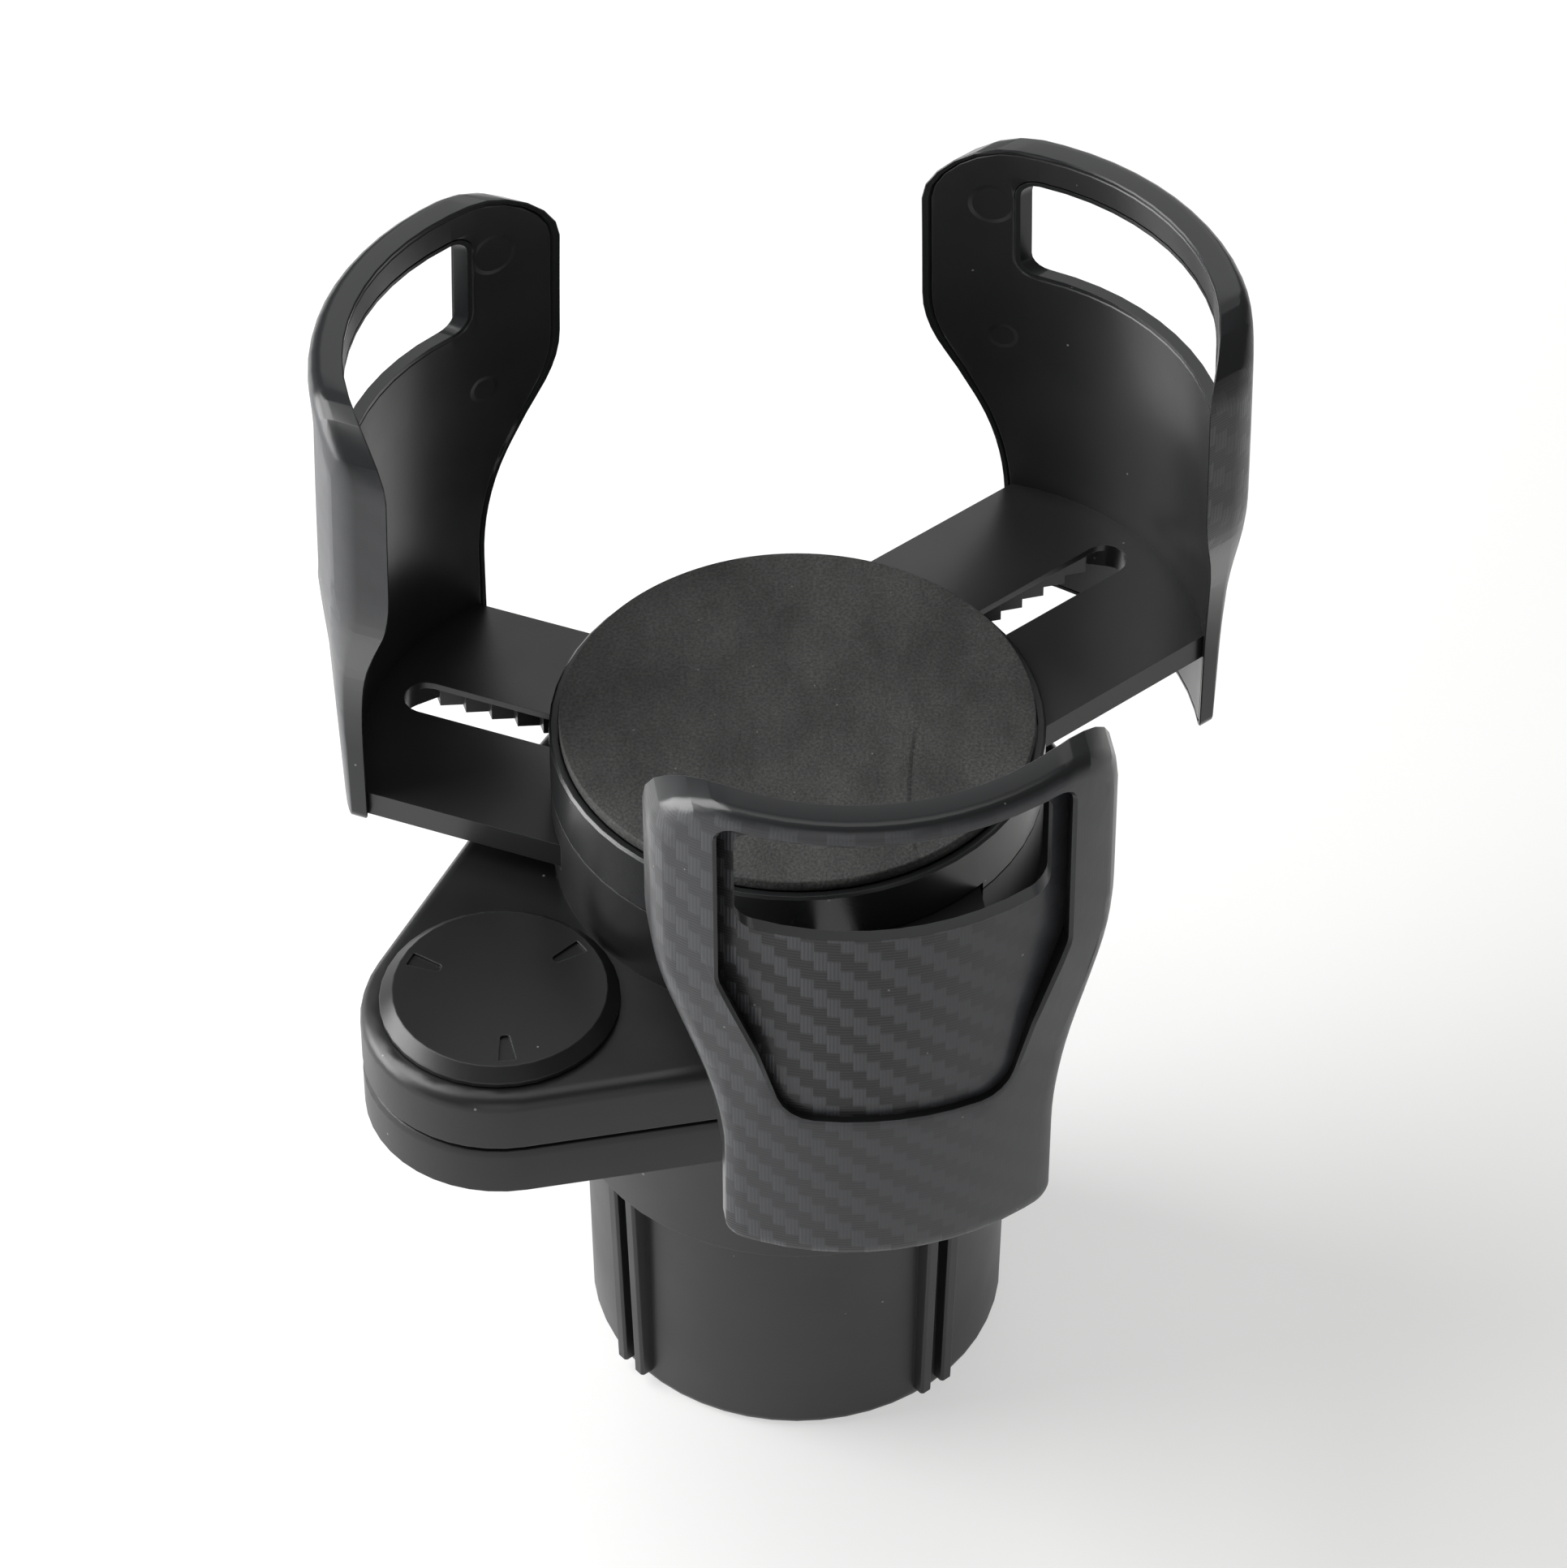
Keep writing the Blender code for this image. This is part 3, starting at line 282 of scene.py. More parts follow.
def blank_material(name):
    """A new material with an empty node tree, and that tree."""
    material = bpy.data.materials.new(name)
    material.use_nodes = True
    material.node_tree.nodes.clear()
    return material, material.node_tree


def specks(tree, place, density, radius, bare):
    """Scattered specks: 1 on one and 0 elsewhere. The settings are those of DUST and LINT."""
    cells = add(tree, "ShaderNodeTexVoronoi", {"Vector": place, "Scale": density})
    near = add(tree, "ShaderNodeMath", [cells.outputs["Distance"], radius], operation="LESS_THAN")
    draw = add(tree, "ShaderNodeSeparateColor", [cells.outputs["Color"]])
    picked = add(tree, "ShaderNodeMath", [draw.outputs["Red"], bare], operation="GREATER_THAN")
    return add(tree, "ShaderNodeMath", [near, picked], operation="MULTIPLY")


def moulded_skin(tree, place, grain, edge_round):
    """What every moulding's surface has, as the nodes that give each part of it."""
    fine = add(tree, "ShaderNodeTexNoise", {"Vector": place, "Scale": 1 / grain, "Detail": 2.0})
    flow = add(tree, "ShaderNodeTexNoise", {"Vector": place, "Scale": 1 / FLOW_MARK, "Detail": 3.0})
    dust = specks(tree, place, *DUST)
    flat = add(tree, "ShaderNodeNewGeometry").outputs["Normal"]
    open_air = add(tree, "ShaderNodeAmbientOcclusion", {"Distance": CORNER_REACH},
                   samples=2, only_local=True).outputs["AO"]
    # Painted shade: the colour darkens where other faces close a corner in.
    hollow = add(tree, "ShaderNodeMapRange", [open_air, 0.35, 0.85, 1.0, 0.0])
    # Only outer edges are rounded: the mould's inner corners stay sharp.
    corner = add(tree, "ShaderNodeMapRange", [open_air, 0.60, 0.90, 1.0, 0.0])
    bevel = add(tree, "ShaderNodeBevel", {"Radius": edge_round}, samples=3)
    normal = add(tree, "ShaderNodeMix", [corner, bevel, flat], data_type="VECTOR")
    turn = add(tree, "ShaderNodeVectorMath", [normal, flat], operation="DOT_PRODUCT")
    edge = add(tree, "ShaderNodeMapRange", [turn, 0.995, 0.90, 0.0, 1.0])
    return MouldedSkin(fine, flow, dust, normal, edge, hollow)


def aged(tree, colour, skin, wear):
    """A moulding's colour, paler on worn edges, with dust specks, and painted shade darkening its
    closed-in corners.
    """
    layers = ((skin.edge, wear, WORN_GREY),
              (skin.dust, 0.5, DUST_GREY),
              (skin.hollow, 0.7, CORNER_SHADE_BLACK))
    for where, strength, tint in layers:
        share = add(tree, "ShaderNodeMath", [where, strength], operation="MULTIPLY")
        colour = add(tree, "ShaderNodeMix", [
            share, colour, opaque(linear(tint))], data_type="RGBA")
    return colour


def claw_coordinates(tree, place, azimuth, reach):
    """A point's place seen from the axis that a claw curves round, with X pointing outwards."""
    turned = add(tree, "ShaderNodeMapping", {
        "Vector": place, "Rotation": (0.0, 0.0, -math.radians(azimuth)),
        "Location": (CLAW_CURVE - reach, 0.0, 0.0)}, vector_type="POINT")
    return add(tree, "ShaderNodeSeparateXYZ", [turned]).outputs


def moulded_abs(name, black, roughness, shine, grain, depth, edge_round):
    """ABS, injection moulded in a steel mould."""
    # It gives the eye an even black with slow changes of gloss, and a thin light line on each
    # outer edge.
    material, tree = blank_material(name)
    place = add(tree, "ShaderNodeTexCoord").outputs["Object"]
    skin = moulded_skin(tree, place, grain, edge_round)
    tone = aged(tree, opaque(black), skin, 0.25)
    gloss = add(tree, "ShaderNodeMapRange", [
        skin.flow, 0.3, 0.7, roughness - 0.05, roughness + 0.07])
    bump = add(tree, "ShaderNodeBump", {
        "Height": skin.grain, "Strength": 1.0, "Distance": depth, "Normal": skin.normal})
    plastic = add(tree, "ShaderNodeBsdfPrincipled", {
        "Base Color": tone, "Roughness": gloss, "Normal": bump, "IOR": 1.54,
        "Specular IOR Level": shine})
    add(tree, "ShaderNodeOutputMaterial", {"Surface": plastic})
    return material


def moulded_nylon(name, azimuth, reach, black, sizes):
    """Nylon, injection moulded and pushed out of its mould by pins."""
    # It gives the eye a satin black, with a shallow disc where each pin pushed.
    material, tree = blank_material(name)
    place = add(tree, "ShaderNodeTexCoord").outputs["Object"]
    skin = moulded_skin(tree, place, CLAW_GRAIN, sizes.lip_round)
    at = claw_coordinates(tree, place, azimuth, reach)
    turn = add(tree, "ShaderNodeMath", [at["Y"], at["X"]], operation="ARCTAN2")
    aside = add(tree, "ShaderNodeMath", [turn], operation="ABSOLUTE")
    wide = add(tree, "ShaderNodeMath", [aside, CLAW_CURVE], operation="MULTIPLY")
    unrolled = add(tree, "ShaderNodeCombineXYZ", {"X": wide, "Y": at["Z"]})
    discs = []
    for across, height, radius in PIN_MARKS:
        away = add(tree, "ShaderNodeVectorMath", [
            unrolled, (across, height, 0.0)], operation="DISTANCE")
        discs.append(add(tree, "ShaderNodeMapRange", [away, radius - PIN_EDGE, radius, 0.0, 1.0]))
    pins = add(tree, "ShaderNodeMath", discs, operation="MULTIPLY")
    tone = aged(tree, opaque(black), skin, 0.2)
    gloss = add(tree, "ShaderNodeMapRange", [skin.flow, 0.3, 0.7, 0.28, 0.38])
    grained = add(tree, "ShaderNodeBump", {
        "Height": skin.grain, "Strength": 1.0, "Distance": CLAW_GRAIN_DEPTH, "Normal": skin.normal})
    bump = add(tree, "ShaderNodeBump", {
        "Height": pins, "Strength": 1.0, "Distance": PIN_DEPTH, "Normal": grained})
    nylon = add(tree, "ShaderNodeBsdfPrincipled", {
        "Base Color": tone, "Roughness": gloss, "Normal": bump, "IOR": 1.53})
    add(tree, "ShaderNodeOutputMaterial", {"Surface": nylon})
    return material


def twill_film(name, azimuth, reach, colours, sizes):
    """Twill patterned film, hot formed over ABS."""
    # It gives the eye steps of bundles that trade gloss as they cross, under a thin clear coat.
    material, tree = blank_material(name)
    given = add(tree, "ShaderNodeTexCoord").outputs
    skin = moulded_skin(tree, given["Object"], CLAW_GRAIN, sizes.lip_round)
    at = claw_coordinates(tree, given["Object"], azimuth, reach)
    turn = add(tree, "ShaderNodeMath", [at["Y"], at["X"]], operation="ARCTAN2")

    # The pattern runs in upright columns, and each one starts a step lower than the last.
    across = add(tree, "ShaderNodeMath", [
        turn, COVER_CURVE / sizes.twill_column, -sizes.twill_start / sizes.twill_column,
    ], operation="MULTIPLY_ADD")
    column = add(tree, "ShaderNodeMath", [across], operation="FLOOR")
    in_column = add(tree, "ShaderNodeMath", [across], operation="FRACT")
    height = add(tree, "ShaderNodeMath", [
        at["Z"], 1 / sizes.twill_repeat, sizes.twill_rise], operation="MULTIPLY_ADD")
    along = add(tree, "ShaderNodeMath", [
        column, sizes.twill_step / sizes.twill_repeat, height], operation="MULTIPLY_ADD")
    # A soft square wave: 1 where the upright bundle lies on top, 0 where the level one does.
    phase = add(tree, "ShaderNodeMath", [along, math.tau], operation="MULTIPLY")
    wave = add(tree, "ShaderNodeMath", [phase], operation="SINE")
    upright = add(tree, "ShaderNodeMapRange", [wave, -0.25, 0.25, 0.0, 1.0])

    # Real threads are 7 micrometres thick, and are drawn at the fibre pitch so that they show.
    threads = []
    for way, turns in ((at["Z"], 1 / sizes.fibre_pitch),
                       (across, sizes.twill_column / sizes.fibre_pitch)):
        phase = add(tree, "ShaderNodeMath", [way, math.tau * turns], operation="MULTIPLY")
        threads.append(add(tree, "ShaderNodeMath", [phase], operation="SINE"))
    thread = add(tree, "ShaderNodeMix", [upright, *threads])
    half_turn = add(tree, "ShaderNodeMath", [in_column, math.pi], operation="MULTIPLY")
    arch = add(tree, "ShaderNodeMath", [half_turn], operation="SINE")
    crown = add(tree, "ShaderNodeMath", [arch, 0.5], operation="POWER")
    swell = add(tree, "ShaderNodeMath", [crown, upright], operation="MULTIPLY")

    # The film lies flat on the outward faces and stretches to plain black over the rims.
    level = add(tree, "ShaderNodeCombineXYZ", {"X": at["X"], "Y": at["Y"]})
    outward = add(tree, "ShaderNodeVectorMath", [level], operation="NORMALIZE")
    facing = add(tree, "ShaderNodeMapping", {
        "Vector": given["Normal"],
        "Rotation": (0.0, 0.0, -math.radians(azimuth))}, vector_type="VECTOR")
    straight = add(tree, "ShaderNodeVectorMath", [outward, facing], operation="DOT_PRODUCT")
    laid = add(tree, "ShaderNodeMapRange", [straight, 0.72, 0.95, 0.0, 1.0])
    # The print is clear in the sunken panel and fades on the border. Its fade to the claw's right
    # is
    # painted light: it stands in for the twill's sheen, which is strongest on the lit left.
    from_axis = add(tree, "ShaderNodeVectorMath", [level], operation="LENGTH")
    sunken = add(tree, "ShaderNodeMapRange", [
        from_axis, COVER_CURVE - PANEL_SUNK, COVER_CURVE - BORDER_SUNK, 1.0, 0.45])
    painted_sheen_fade = add(tree, "ShaderNodeMapRange", [turn, -0.15, 0.40, 1.0, 0.15])
    print_and_painted_sheen = add(tree, "ShaderNodeMath", [sunken, painted_sheen_fade], operation="MULTIPLY")

    woven = add(tree, "ShaderNodeMath", [thread, 0.26, swell], operation="MULTIPLY_ADD")
    relief = add(tree, "ShaderNodeMath", [woven, laid], operation="MULTIPLY")
    relief = add(tree, "ShaderNodeMath", [relief, print_and_painted_sheen], operation="MULTIPLY")
    bundle = add(tree, "ShaderNodeMath", [upright, 0.9], operation="MULTIPLY")
    pattern = add(tree, "ShaderNodeMath", [thread, 0.10, bundle], operation="MULTIPLY_ADD")
    shade = add(tree, "ShaderNodeMix", [print_and_painted_sheen, FADED_TWILL_TONE, pattern])
    cloth = add(tree, "ShaderNodeMix", [
        shade, opaque(colours.weft_grey), opaque(colours.warp_grey)], data_type="RGBA")
    film = add(tree, "ShaderNodeMix", [laid, opaque(colours.rim_black), cloth], data_type="RGBA")
    tone = aged(tree, film, skin, 0.2)
    mottled = add(tree, "ShaderNodeMath", [skin.flow, 0.25, shade], operation="MULTIPLY_ADD")
    matt = add(tree, "ShaderNodeMapRange", [mottled, 0.0, 1.1, 0.50, 0.40])
    gloss = add(tree, "ShaderNodeMix", [laid, 0.28, matt])
    bump = add(tree, "ShaderNodeBump", {
        "Height": relief, "Strength": 0.6, "Distance": TWILL_DEPTH, "Normal": skin.normal})
    coated = add(tree, "ShaderNodeBsdfPrincipled", {
        "Base Color": tone, "Roughness": gloss, "Normal": bump, "IOR": 1.5,
        "Specular IOR Level": 0.22, "Coat Weight": 0.3, "Coat Roughness": 0.22, "Coat IOR": 1.5})
    add(tree, "ShaderNodeOutputMaterial", {"Surface": coated})
    return material


def pressed_rubber(name, colours):
    """Rubber sheet, die cut and pressed into its seat."""
    # It gives the eye a matt speckle, with damp smudges, and one fold line with painted shade along
    # it.
    material, tree = blank_material(name)
    place = add(tree, "ShaderNodeTexCoord").outputs["Object"]
    speck = add(tree, "ShaderNodeTexNoise", {
        "Vector": place, "Scale": 1 / RUBBER_SPECK, "Detail": 2.0})
    # The smudges are drawn out along Y to twice their width.
    drawn_out = add(tree, "ShaderNodeMapping", {"Vector": place, "Scale": (1.0, 0.5, 1.0)})
    blotch = add(tree, "ShaderNodeTexNoise", {
        "Vector": drawn_out, "Scale": 1 / RUBBER_SMUDGE, "Detail": 5.0, "Roughness": 0.62})
    smudge = add(tree, "ShaderNodeMapRange", [blotch, 0.36, 0.62, 0.70, 1.18])
    grain = add(tree, "ShaderNodeMapRange", [speck, 0.35, 0.70, 0.70, 1.40])

    # The fold follows a shallow bow, from -1 to 1 along it, and dies out round both ends.
    split = add(tree, "ShaderNodeSeparateXYZ", [place])
    bow = add(tree, "ShaderNodeMath", [
        split.outputs["Y"], 1 / FOLD_HALF, -FOLD_MIDDLE[1] / FOLD_HALF], operation="MULTIPLY_ADD")
    bent = add(tree, "ShaderNodeMath", [bow, bow], operation="MULTIPLY")
    line = add(tree, "ShaderNodeMath", [bent, FOLD_BOW, FOLD_MIDDLE[0]], operation="MULTIPLY_ADD")
    aside = add(tree, "ShaderNodeMath", [split.outputs["X"], line], operation="SUBTRACT")
    off = add(tree, "ShaderNodeMath", [aside], operation="ABSOLUTE")
    near = add(tree, "ShaderNodeMapRange", [off, 0.0, FOLD_FADE, 1.0, 0.0])
    outwards = add(tree, "ShaderNodeMath", [bow], operation="ABSOLUTE")
    ends = add(tree, "ShaderNodeMapRange", [outwards, 0.6, 1.15, 1.0, 0.0])
    crease = add(tree, "ShaderNodeMath", [near, ends], operation="MULTIPLY")
    fold = add(tree, "ShaderNodeMath", [crease, blotch], operation="MULTIPLY")

    # Painted shade: the colour darkens along the fold line.
    grain_with_fold_shade = add(tree, "ShaderNodeMath", [fold, -0.95, grain], operation="MULTIPLY_ADD")
    tone = add(tree, "ShaderNodeMath", [smudge, grain_with_fold_shade], operation="MULTIPLY")
    toned = add(tree, "ShaderNodeVectorMath", [colours.pad_grey, tone], operation="SCALE")
    lint = add(tree, "ShaderNodeMath", [specks(tree, place, *LINT), 0.35], operation="MULTIPLY")
    marked = add(tree, "ShaderNodeMix", [lint, toned, opaque(linear(LINT_GREY))], data_type="RGBA")
    height = add(tree, "ShaderNodeMath", [fold, -1.8, speck], operation="MULTIPLY_ADD")
    bump = add(tree, "ShaderNodeBump", {
        "Height": height, "Strength": 0.8, "Distance": RUBBER_DEPTH})
    rubber = add(tree, "ShaderNodeBsdfPrincipled", {
        "Base Color": marked, "Roughness": 0.80, "Normal": bump, "IOR": 1.52,
        "Specular IOR Level": 0.35})
    add(tree, "ShaderNodeOutputMaterial", {"Surface": rubber})
    return material


def plated_steel(name, colours):
    """Steel, cold headed and zinc plated."""
    # It gives the eye a pale metal with a faint mottled bloom.
    material, tree = blank_material(name)
    place = add(tree, "ShaderNodeTexCoord").outputs["Object"]
    bloom = add(tree, "ShaderNodeTexNoise", {
        "Vector": place, "Scale": 1 / ZINC_BLOOM, "Detail": 3.0})
    dull = [level * 0.8 for level in colours.zinc_grey]
    tint = add(tree, "ShaderNodeMix", [
        bloom, opaque(dull), opaque(colours.zinc_grey)], data_type="RGBA")
    gloss = add(tree, "ShaderNodeMapRange", [bloom, 0.3, 0.7, 0.26, 0.42])
    bump = add(tree, "ShaderNodeBump", {
        "Height": bloom, "Strength": 0.4, "Distance": ZINC_DEPTH})
    steel = add(tree, "ShaderNodeBsdfPrincipled", {
        "Base Color": tint, "Metallic": 1.0, "Roughness": gloss, "Normal": bump})
    add(tree, "ShaderNodeOutputMaterial", {"Surface": steel})
    return material


def matt_paper(name, stage):
    """Paper, rolled, laid out as the floor."""
    # It gives the eye a near white that takes the object's shadow softly.
    material, tree = blank_material(name)
    place = add(tree, "ShaderNodeTexCoord").outputs["Object"]
    tooth = add(tree, "ShaderNodeTexNoise", {
        "Vector": place, "Scale": 1 / PAPER_TOOTH, "Detail": 2.0})
    bump = add(tree, "ShaderNodeBump", {
        "Height": tooth, "Strength": 0.2, "Distance": PAPER_DEPTH})
    paper = add(tree, "ShaderNodeBsdfPrincipled", {
        "Base Color": opaque(stage.floor_white), "Roughness": 0.9, "Normal": bump,
        "Specular IOR Level": 0.2})
    # Its own glow falls off from the far left, which is white, to the near right.
    split = add(tree, "ShaderNodeSeparateXYZ", [place])
    slope = add(tree, "ShaderNodeMath", [
        split.outputs["Y"], -0.6, split.outputs["X"]], operation="MULTIPLY_ADD")
    fall = add(tree, "ShaderNodeMapRange", [slope, *GLOW_FALL, 0.0, 1.0])
    tone = add(tree, "ShaderNodeMix", [
        fall, opaque(linear(GLOW_FAR)), opaque(linear(GLOW_NEAR))], data_type="RGBA")
    glow = add(tree, "ShaderNodeEmission", {"Color": tone, "Strength": 1.0})
    path = add(tree, "ShaderNodeLightPath").outputs
    direct = add(tree, "ShaderNodeMath", [
        path["Is Camera Ray"], path["Is Glossy Ray"]], operation="MAXIMUM")
    seen = add(tree, "ShaderNodeMath", [direct, path["Is Transmission Ray"]], operation="MAXIMUM")
    share = add(tree, "ShaderNodeMath", [seen, GLOW_SHARE], operation="MULTIPLY")
    mixed = add(tree, "ShaderNodeMixShader", [share, paper, glow])
    add(tree, "ShaderNodeOutputMaterial", {"Surface": mixed})
    return material


# Dressing the frame

def soft_shading():
    """The node group that joins a frame mesh's loose faces and smooths them over its fillets."""
    found = bpy.data.node_groups.get("Soft Shading")
    if found:
        return found
    tree = bpy.data.node_groups.new("Soft Shading", "GeometryNodeTree")
    tree.interface.new_socket("Geometry", in_out="INPUT", socket_type="NodeSocketGeometry")
    tree.interface.new_socket("Geometry", in_out="OUTPUT", socket_type="NodeSocketGeometry")
    given = add(tree, "NodeGroupInput")
    merged = add(tree, "GeometryNodeMergeByDistance", {
        "Geometry": given, "Distance": MERGE_DISTANCE})
    plain = add(tree, "GeometryNodeRemoveAttribute", {"Geometry": merged, "Name": "custom_normal"})
    faces = add(tree, "GeometryNodeSetShadeSmooth", {
        "Geometry": plain, "Shade Smooth": True}, domain="FACE")
    angle = add(tree, "GeometryNodeInputMeshEdgeAngle").outputs["Unsigned Angle"]
    shallow = add(tree, "ShaderNodeMath", [angle, SMOOTH_ANGLE], operation="LESS_THAN")
    edges = add(tree, "GeometryNodeSetShadeSmooth", {
        "Geometry": faces, "Shade Smooth": shallow}, domain="EDGE")
    add(tree, "NodeGroupOutput", [edges])
    return tree


def dress(name, material):
    """Gives a frame node its finish, and shading that follows its fillets."""
    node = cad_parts[name]
    for place in node.material_slots:
        place.link = "OBJECT"
        place.material = material
    smooth = node.modifiers.new("Soft Shading", "NODES")
    smooth.node_group = soft_shading()
    weighted = node.modifiers.new("Flat Faces First", "WEIGHTED_NORMAL")
    weighted.keep_sharp = True


def wanted(*names):
    """The frame nodes asked for, or a plain error where the frame has none."""
    lost = [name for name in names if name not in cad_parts]
    if lost:
        raise RuntimeError(f"the frame has no node named {lost}")
    return names


# Pieces and stage

class EXPANDER_OT_base(bpy.types.Operator):
    """Finish the base cup, the teardrop plates and the pivot cap"""

    bl_idname = "expander.base"
    bl_label = "Base and Plates"

    def execute(self, context):
        colours, sizes = context.scene.expander_colours, context.scene.expander_sizes
        cup = moulded_abs(
            "ABS Moulded Fine Satin", colours.base_black, roughness=0.42, shine=0.45,
            grain=0.0005, depth=0.000012, edge_round=sizes.edge_round)
        plate = moulded_abs(
            "ABS Moulded Satin", colours.plate_black, roughness=0.36, shine=0.38,
            grain=0.0006, depth=0.000010, edge_round=sizes.edge_round)
        for name in wanted("base_cup"):
            dress(name, cup)
        for name in wanted("lower_plate", "upper_plate", "pivot_cap"):
            dress(name, plate)
        return {"FINISHED"}


class EXPANDER_OT_hub(bpy.types.Operator):
    """Finish the hub ring under the tray"""

    bl_idname = "expander.hub"
    bl_label = "Hub"

    def execute(self, context):
        colours, sizes = context.scene.expander_colours, context.scene.expander_sizes
        ring = moulded_abs(
            "ABS Moulded Semi Gloss", colours.hub_black, roughness=0.27, shine=0.5,
            grain=0.0008, depth=0.000006, edge_round=sizes.lip_round)
        for name in wanted("hub_cap"):
            dress(name, ring)
        return {"FINISHED"}


class EXPANDER_OT_arms(bpy.types.Operator):
    """Finish the sliding arms, their claws' inner faces and the catches"""

    bl_idname = "expander.arms"
    bl_label = "Arms and Catches"

    def execute(self, context):
        colours, sizes = context.scene.expander_colours, context.scene.expander_sizes
        for side, (azimuth, reach) in CLAWS.items():
            nylon = moulded_nylon(
                f"Nylon Moulded Satin {side.title()}", azimuth, reach, colours.arm_black, sizes)
            for name in wanted(f"arm_{side}", f"catch_{side}"):
                dress(name, nylon)
        return {"FINISHED"}


class EXPANDER_OT_covers(bpy.types.Operator):
    """Finish the claw covers with their twill film"""

    bl_idname = "expander.covers"
    bl_label = "Claw Covers"

    def execute(self, context):
        colours, sizes = context.scene.expander_colours, context.scene.expander_sizes
        for side, (azimuth, reach) in CLAWS.items():
            film = twill_film(f"Twill Film on ABS {side.title()}", azimuth, reach, colours, sizes)
            for name in wanted(f"cover_{side}"):
                dress(name, film)
        return {"FINISHED"}


class EXPANDER_OT_pad(bpy.types.Operator):
    """Build the rubber pad that a cup stands on"""

    bl_idname = "expander.pad"
    bl_label = "Tray Pad"

    def execute(self, context):
        colours, sizes = context.scene.expander_colours, context.scene.expander_sizes
        wanted("tray_pad")
        radius = (PAD_BOX[1].x - PAD_BOX[0].x) / 2
        low, high = PAD_BOX[0].z, PAD_BOX[1].z
        # From the cut edge's foot, up round the upper edge, and in over the top.
        turns = [math.radians(90 * at / PAD_ARC_STEPS) for at in range(PAD_ARC_STEPS + 1)]
        profile = [(radius - PAD_FOOT, low), (radius, low + PAD_FOOT)]
        profile += [(radius - sizes.pad_round * (1 - math.cos(turn)),
                     high - sizes.pad_round * (1 - math.sin(turn))) for turn in turns]
        profile += [((radius - sizes.pad_round) * (1 - at / PAD_RINGS), high)
                    for at in range(1, PAD_RINGS)]
        mesh = bmesh.new()
        rings = []
        for reach, height in profile:
            ring = []
            for at in range(PAD_STEPS):
                turn = math.tau * at / PAD_STEPS
                x, y = reach * math.cos(turn), reach * math.sin(turn)
                # The ripple only goes down, so that the pad stays inside its solid.
                wave = noise.noise(Vector((x / PAD_WAVE, y / PAD_WAVE, 0.3))) * 0.5 - 0.5
                drop = sizes.pad_ripple * wave if height > high - sizes.pad_round else 0.0
                ring.append(mesh.verts.new((PAD_MIDDLE.x + x, PAD_MIDDLE.y + y, height + drop)))
            rings.append(ring)
        for below, above in zip(rings, rings[1:]):
            for at in range(PAD_STEPS):
                after = (at + 1) % PAD_STEPS
                mesh.faces.new((below[at], below[after], above[after], above[at]))
        mesh.faces.new(list(reversed(rings[0])))
        mesh.faces.new(rings[-1])
        for face in mesh.faces:
            face.smooth = True
        data = bpy.data.meshes.new("cup_pad")
        mesh.to_mesh(data)
        mesh.free()
        pad = bpy.data.objects.new("cup_pad", data)
        context.scene.collection.objects.link(pad)
        data.materials.append(pressed_rubber("Rubber Sheet Pressed Matt", colours))
        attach(pad, "head")
        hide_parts("tray_pad")
        return {"FINISHED"}


class EXPANDER_OT_fasteners(bpy.types.Operator):
    """Finish the screws, the bolt, its washer and its nut"""

    bl_idname = "expander.fasteners"
    bl_label = "Fasteners"

    def execute(self, context):
        steel = plated_steel("Steel Zinc Plated", context.scene.expander_colours)
        screws = [f"base_screw_{number}" for number in (1, 2, 3)]
        for name in wanted("hub_screw", "pivot_bolt", "pivot_washer", "pivot_nut", *screws):
            dress(name, steel)
        return {"FINISHED"}


def place_lamp(name, watts, place):
    """Hangs one soft square lamp, turned to face the middle of the object."""
    data = bpy.data.lights.new(name, "AREA")
    data.energy = watts
    data.size = LAMP_SIZE
    lamp = bpy.data.objects.new(name, data)
    bpy.context.scene.collection.objects.link(lamp)
    lamp.location = place
    lamp.rotation_euler = (Vector(LAMP_AIM) - Vector(place)).to_track_quat("-Z", "Y").to_euler()


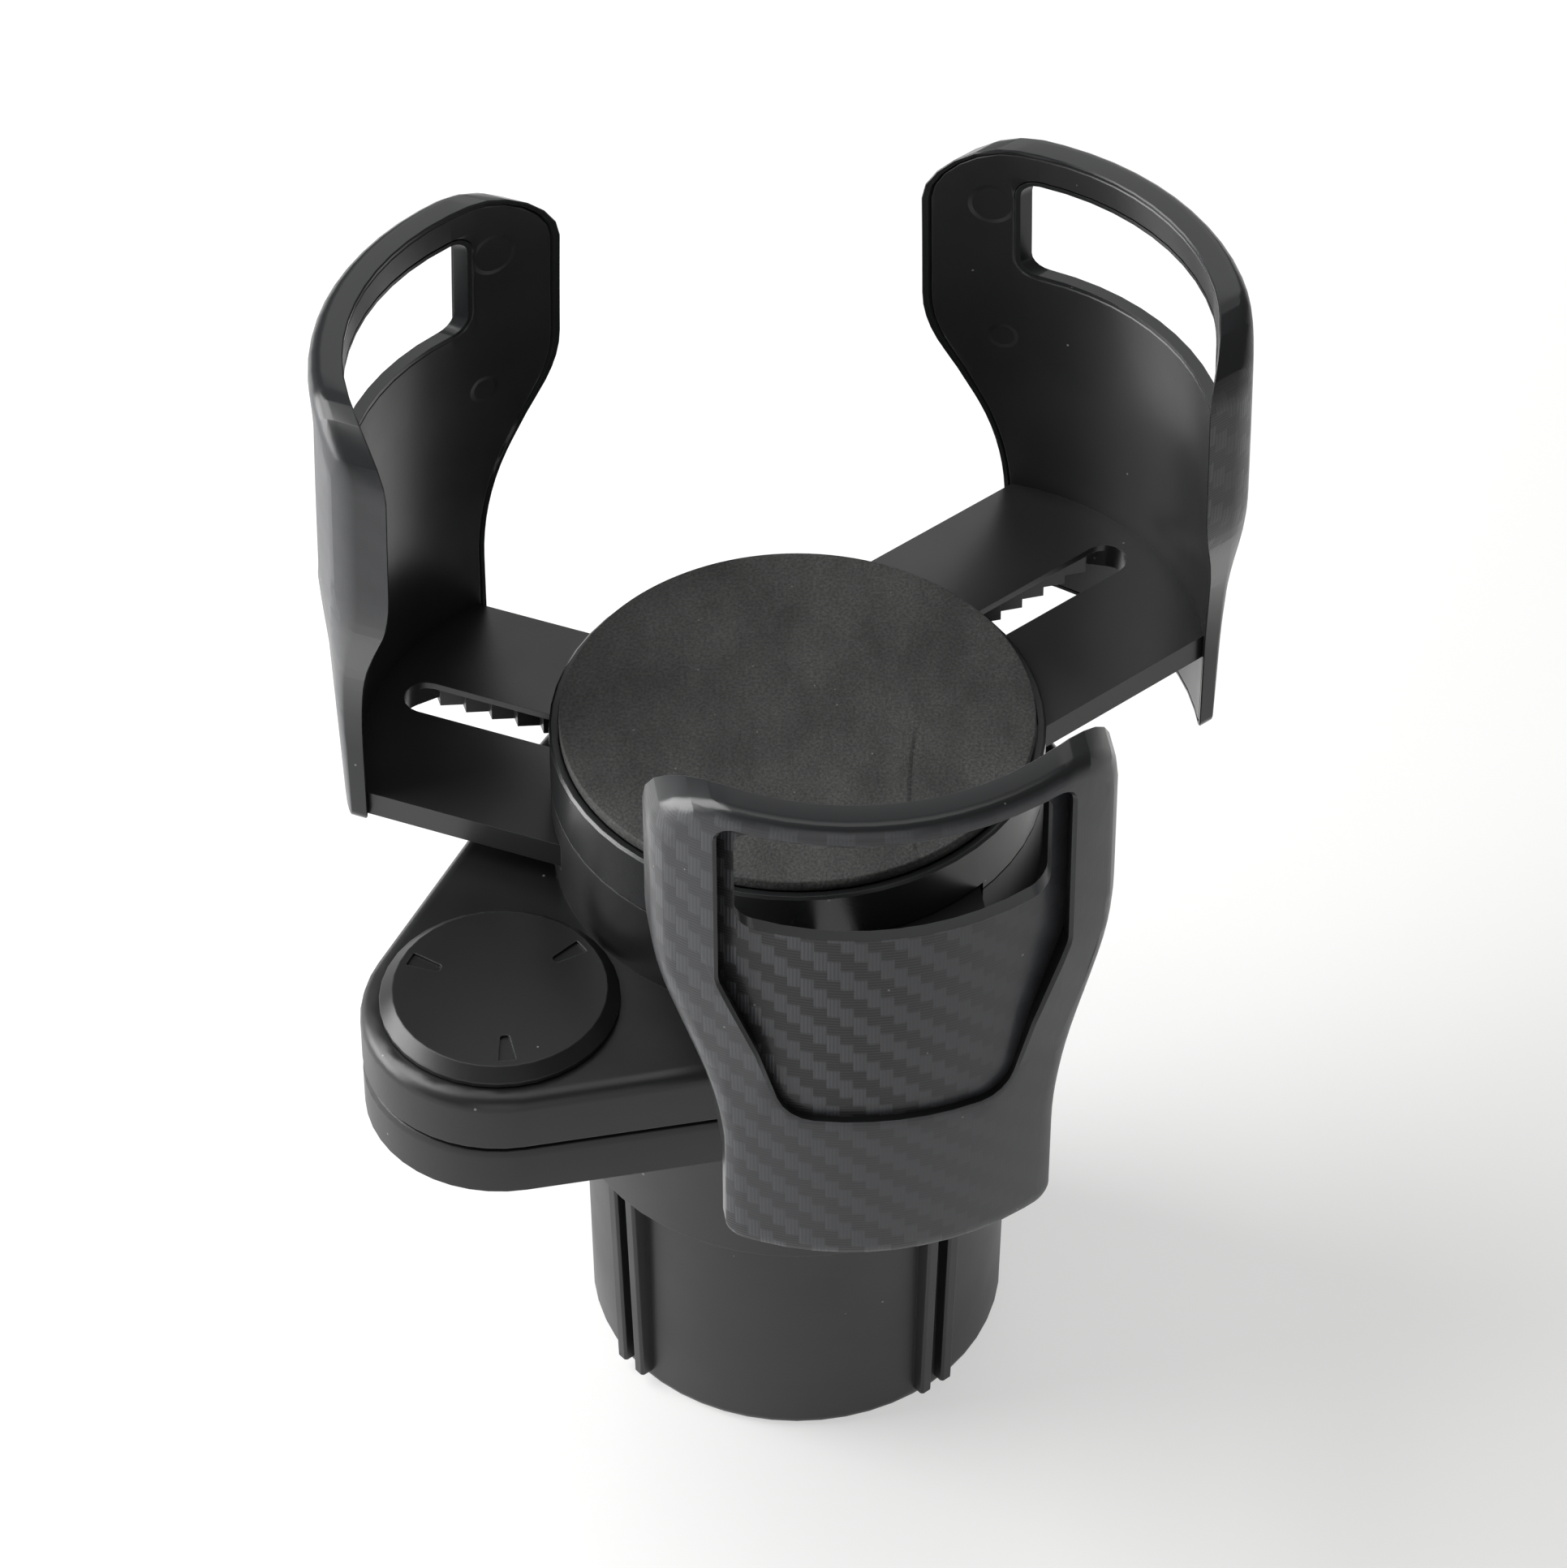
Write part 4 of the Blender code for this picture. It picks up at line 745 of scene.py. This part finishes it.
class EXPANDER_OT_stage(bpy.types.Operator):
    """Lay the floor, hang the lamps and place the camera"""

    bl_idname = "expander.stage"
    bl_label = "Stage and Camera"

    def execute(self, context):
        scene = context.scene
        stage = scene.expander_stage
        mesh = bmesh.new()
        bmesh.ops.create_grid(mesh, x_segments=8, y_segments=8, size=FLOOR_HALF)
        data = bpy.data.meshes.new("floor")
        mesh.to_mesh(data)
        mesh.free()
        floor = bpy.data.objects.new("floor", data)
        scene.collection.objects.link(floor)
        floor.location.z = FLOOR_HEIGHT
        data.materials.append(matt_paper("Paper Rolled Matt", stage))

        for name, place in LAMPS.items():
            place_lamp(f"{name}_lamp", getattr(stage, f"{name}_watts"), place)

        world = bpy.data.worlds.new("Studio Air")
        world.use_nodes = True
        world.node_tree.nodes.clear()
        sky = add(world.node_tree, "ShaderNodeBackground", {
            "Color": (1.0, 1.0, 1.0, 1.0), "Strength": stage.sky_strength})
        add(world.node_tree, "ShaderNodeOutputWorld", {"Surface": sky})
        scene.world = world

        lens = bpy.data.cameras.new("product_camera")
        lens.lens = stage.camera_lens
        lens.sensor_width = 36.0
        camera = bpy.data.objects.new("product_camera", lens)
        scene.collection.objects.link(camera)
        camera.location = stage.camera_place
        camera.rotation_euler = (stage.camera_tilt, 0.0, 0.0)
        scene.camera = camera
        scene.view_settings.view_transform = "Standard"
        return {"FINISHED"}


OPERATORS = (
    EXPANDER_OT_base,
    EXPANDER_OT_hub,
    EXPANDER_OT_arms,
    EXPANDER_OT_covers,
    EXPANDER_OT_pad,
    EXPANDER_OT_fasteners,
    EXPANDER_OT_stage,
)


class EXPANDER_PT_panel(bpy.types.Panel):
    """The expander's settings and pieces in the 3D view's sidebar"""

    bl_idname = "EXPANDER_PT_panel"
    bl_label = "Cup Holder Expander"
    bl_space_type = "VIEW_3D"
    bl_region_type = "UI"
    bl_category = "Cup Holder"

    def draw(self, context):
        layout = self.layout
        scene = context.scene
        for group in (scene.expander_colours, scene.expander_sizes, scene.expander_stage):
            column = layout.column(align=True)
            for name in group.__annotations__:
                column.prop(group, name)
        for operator in OPERATORS:
            layout.operator(operator.bl_idname)


CLASSES = (ExpanderColours, ExpanderSizes, ExpanderStage, *OPERATORS, EXPANDER_PT_panel)


def register():
    for each in CLASSES:
        bpy.utils.register_class(each)
    bpy.types.Scene.expander_colours = PointerProperty(type=ExpanderColours)
    bpy.types.Scene.expander_sizes = PointerProperty(type=ExpanderSizes)
    bpy.types.Scene.expander_stage = PointerProperty(type=ExpanderStage)


def unregister():
    del bpy.types.Scene.expander_stage
    del bpy.types.Scene.expander_sizes
    del bpy.types.Scene.expander_colours
    for each in reversed(CLASSES):
        bpy.utils.unregister_class(each)


def main():
    register()
    bpy.ops.expander.base()
    bpy.ops.expander.hub()
    bpy.ops.expander.arms()
    bpy.ops.expander.covers()
    bpy.ops.expander.pad()
    bpy.ops.expander.fasteners()
    bpy.ops.expander.stage()


if __name__ == "__main__":
    main()
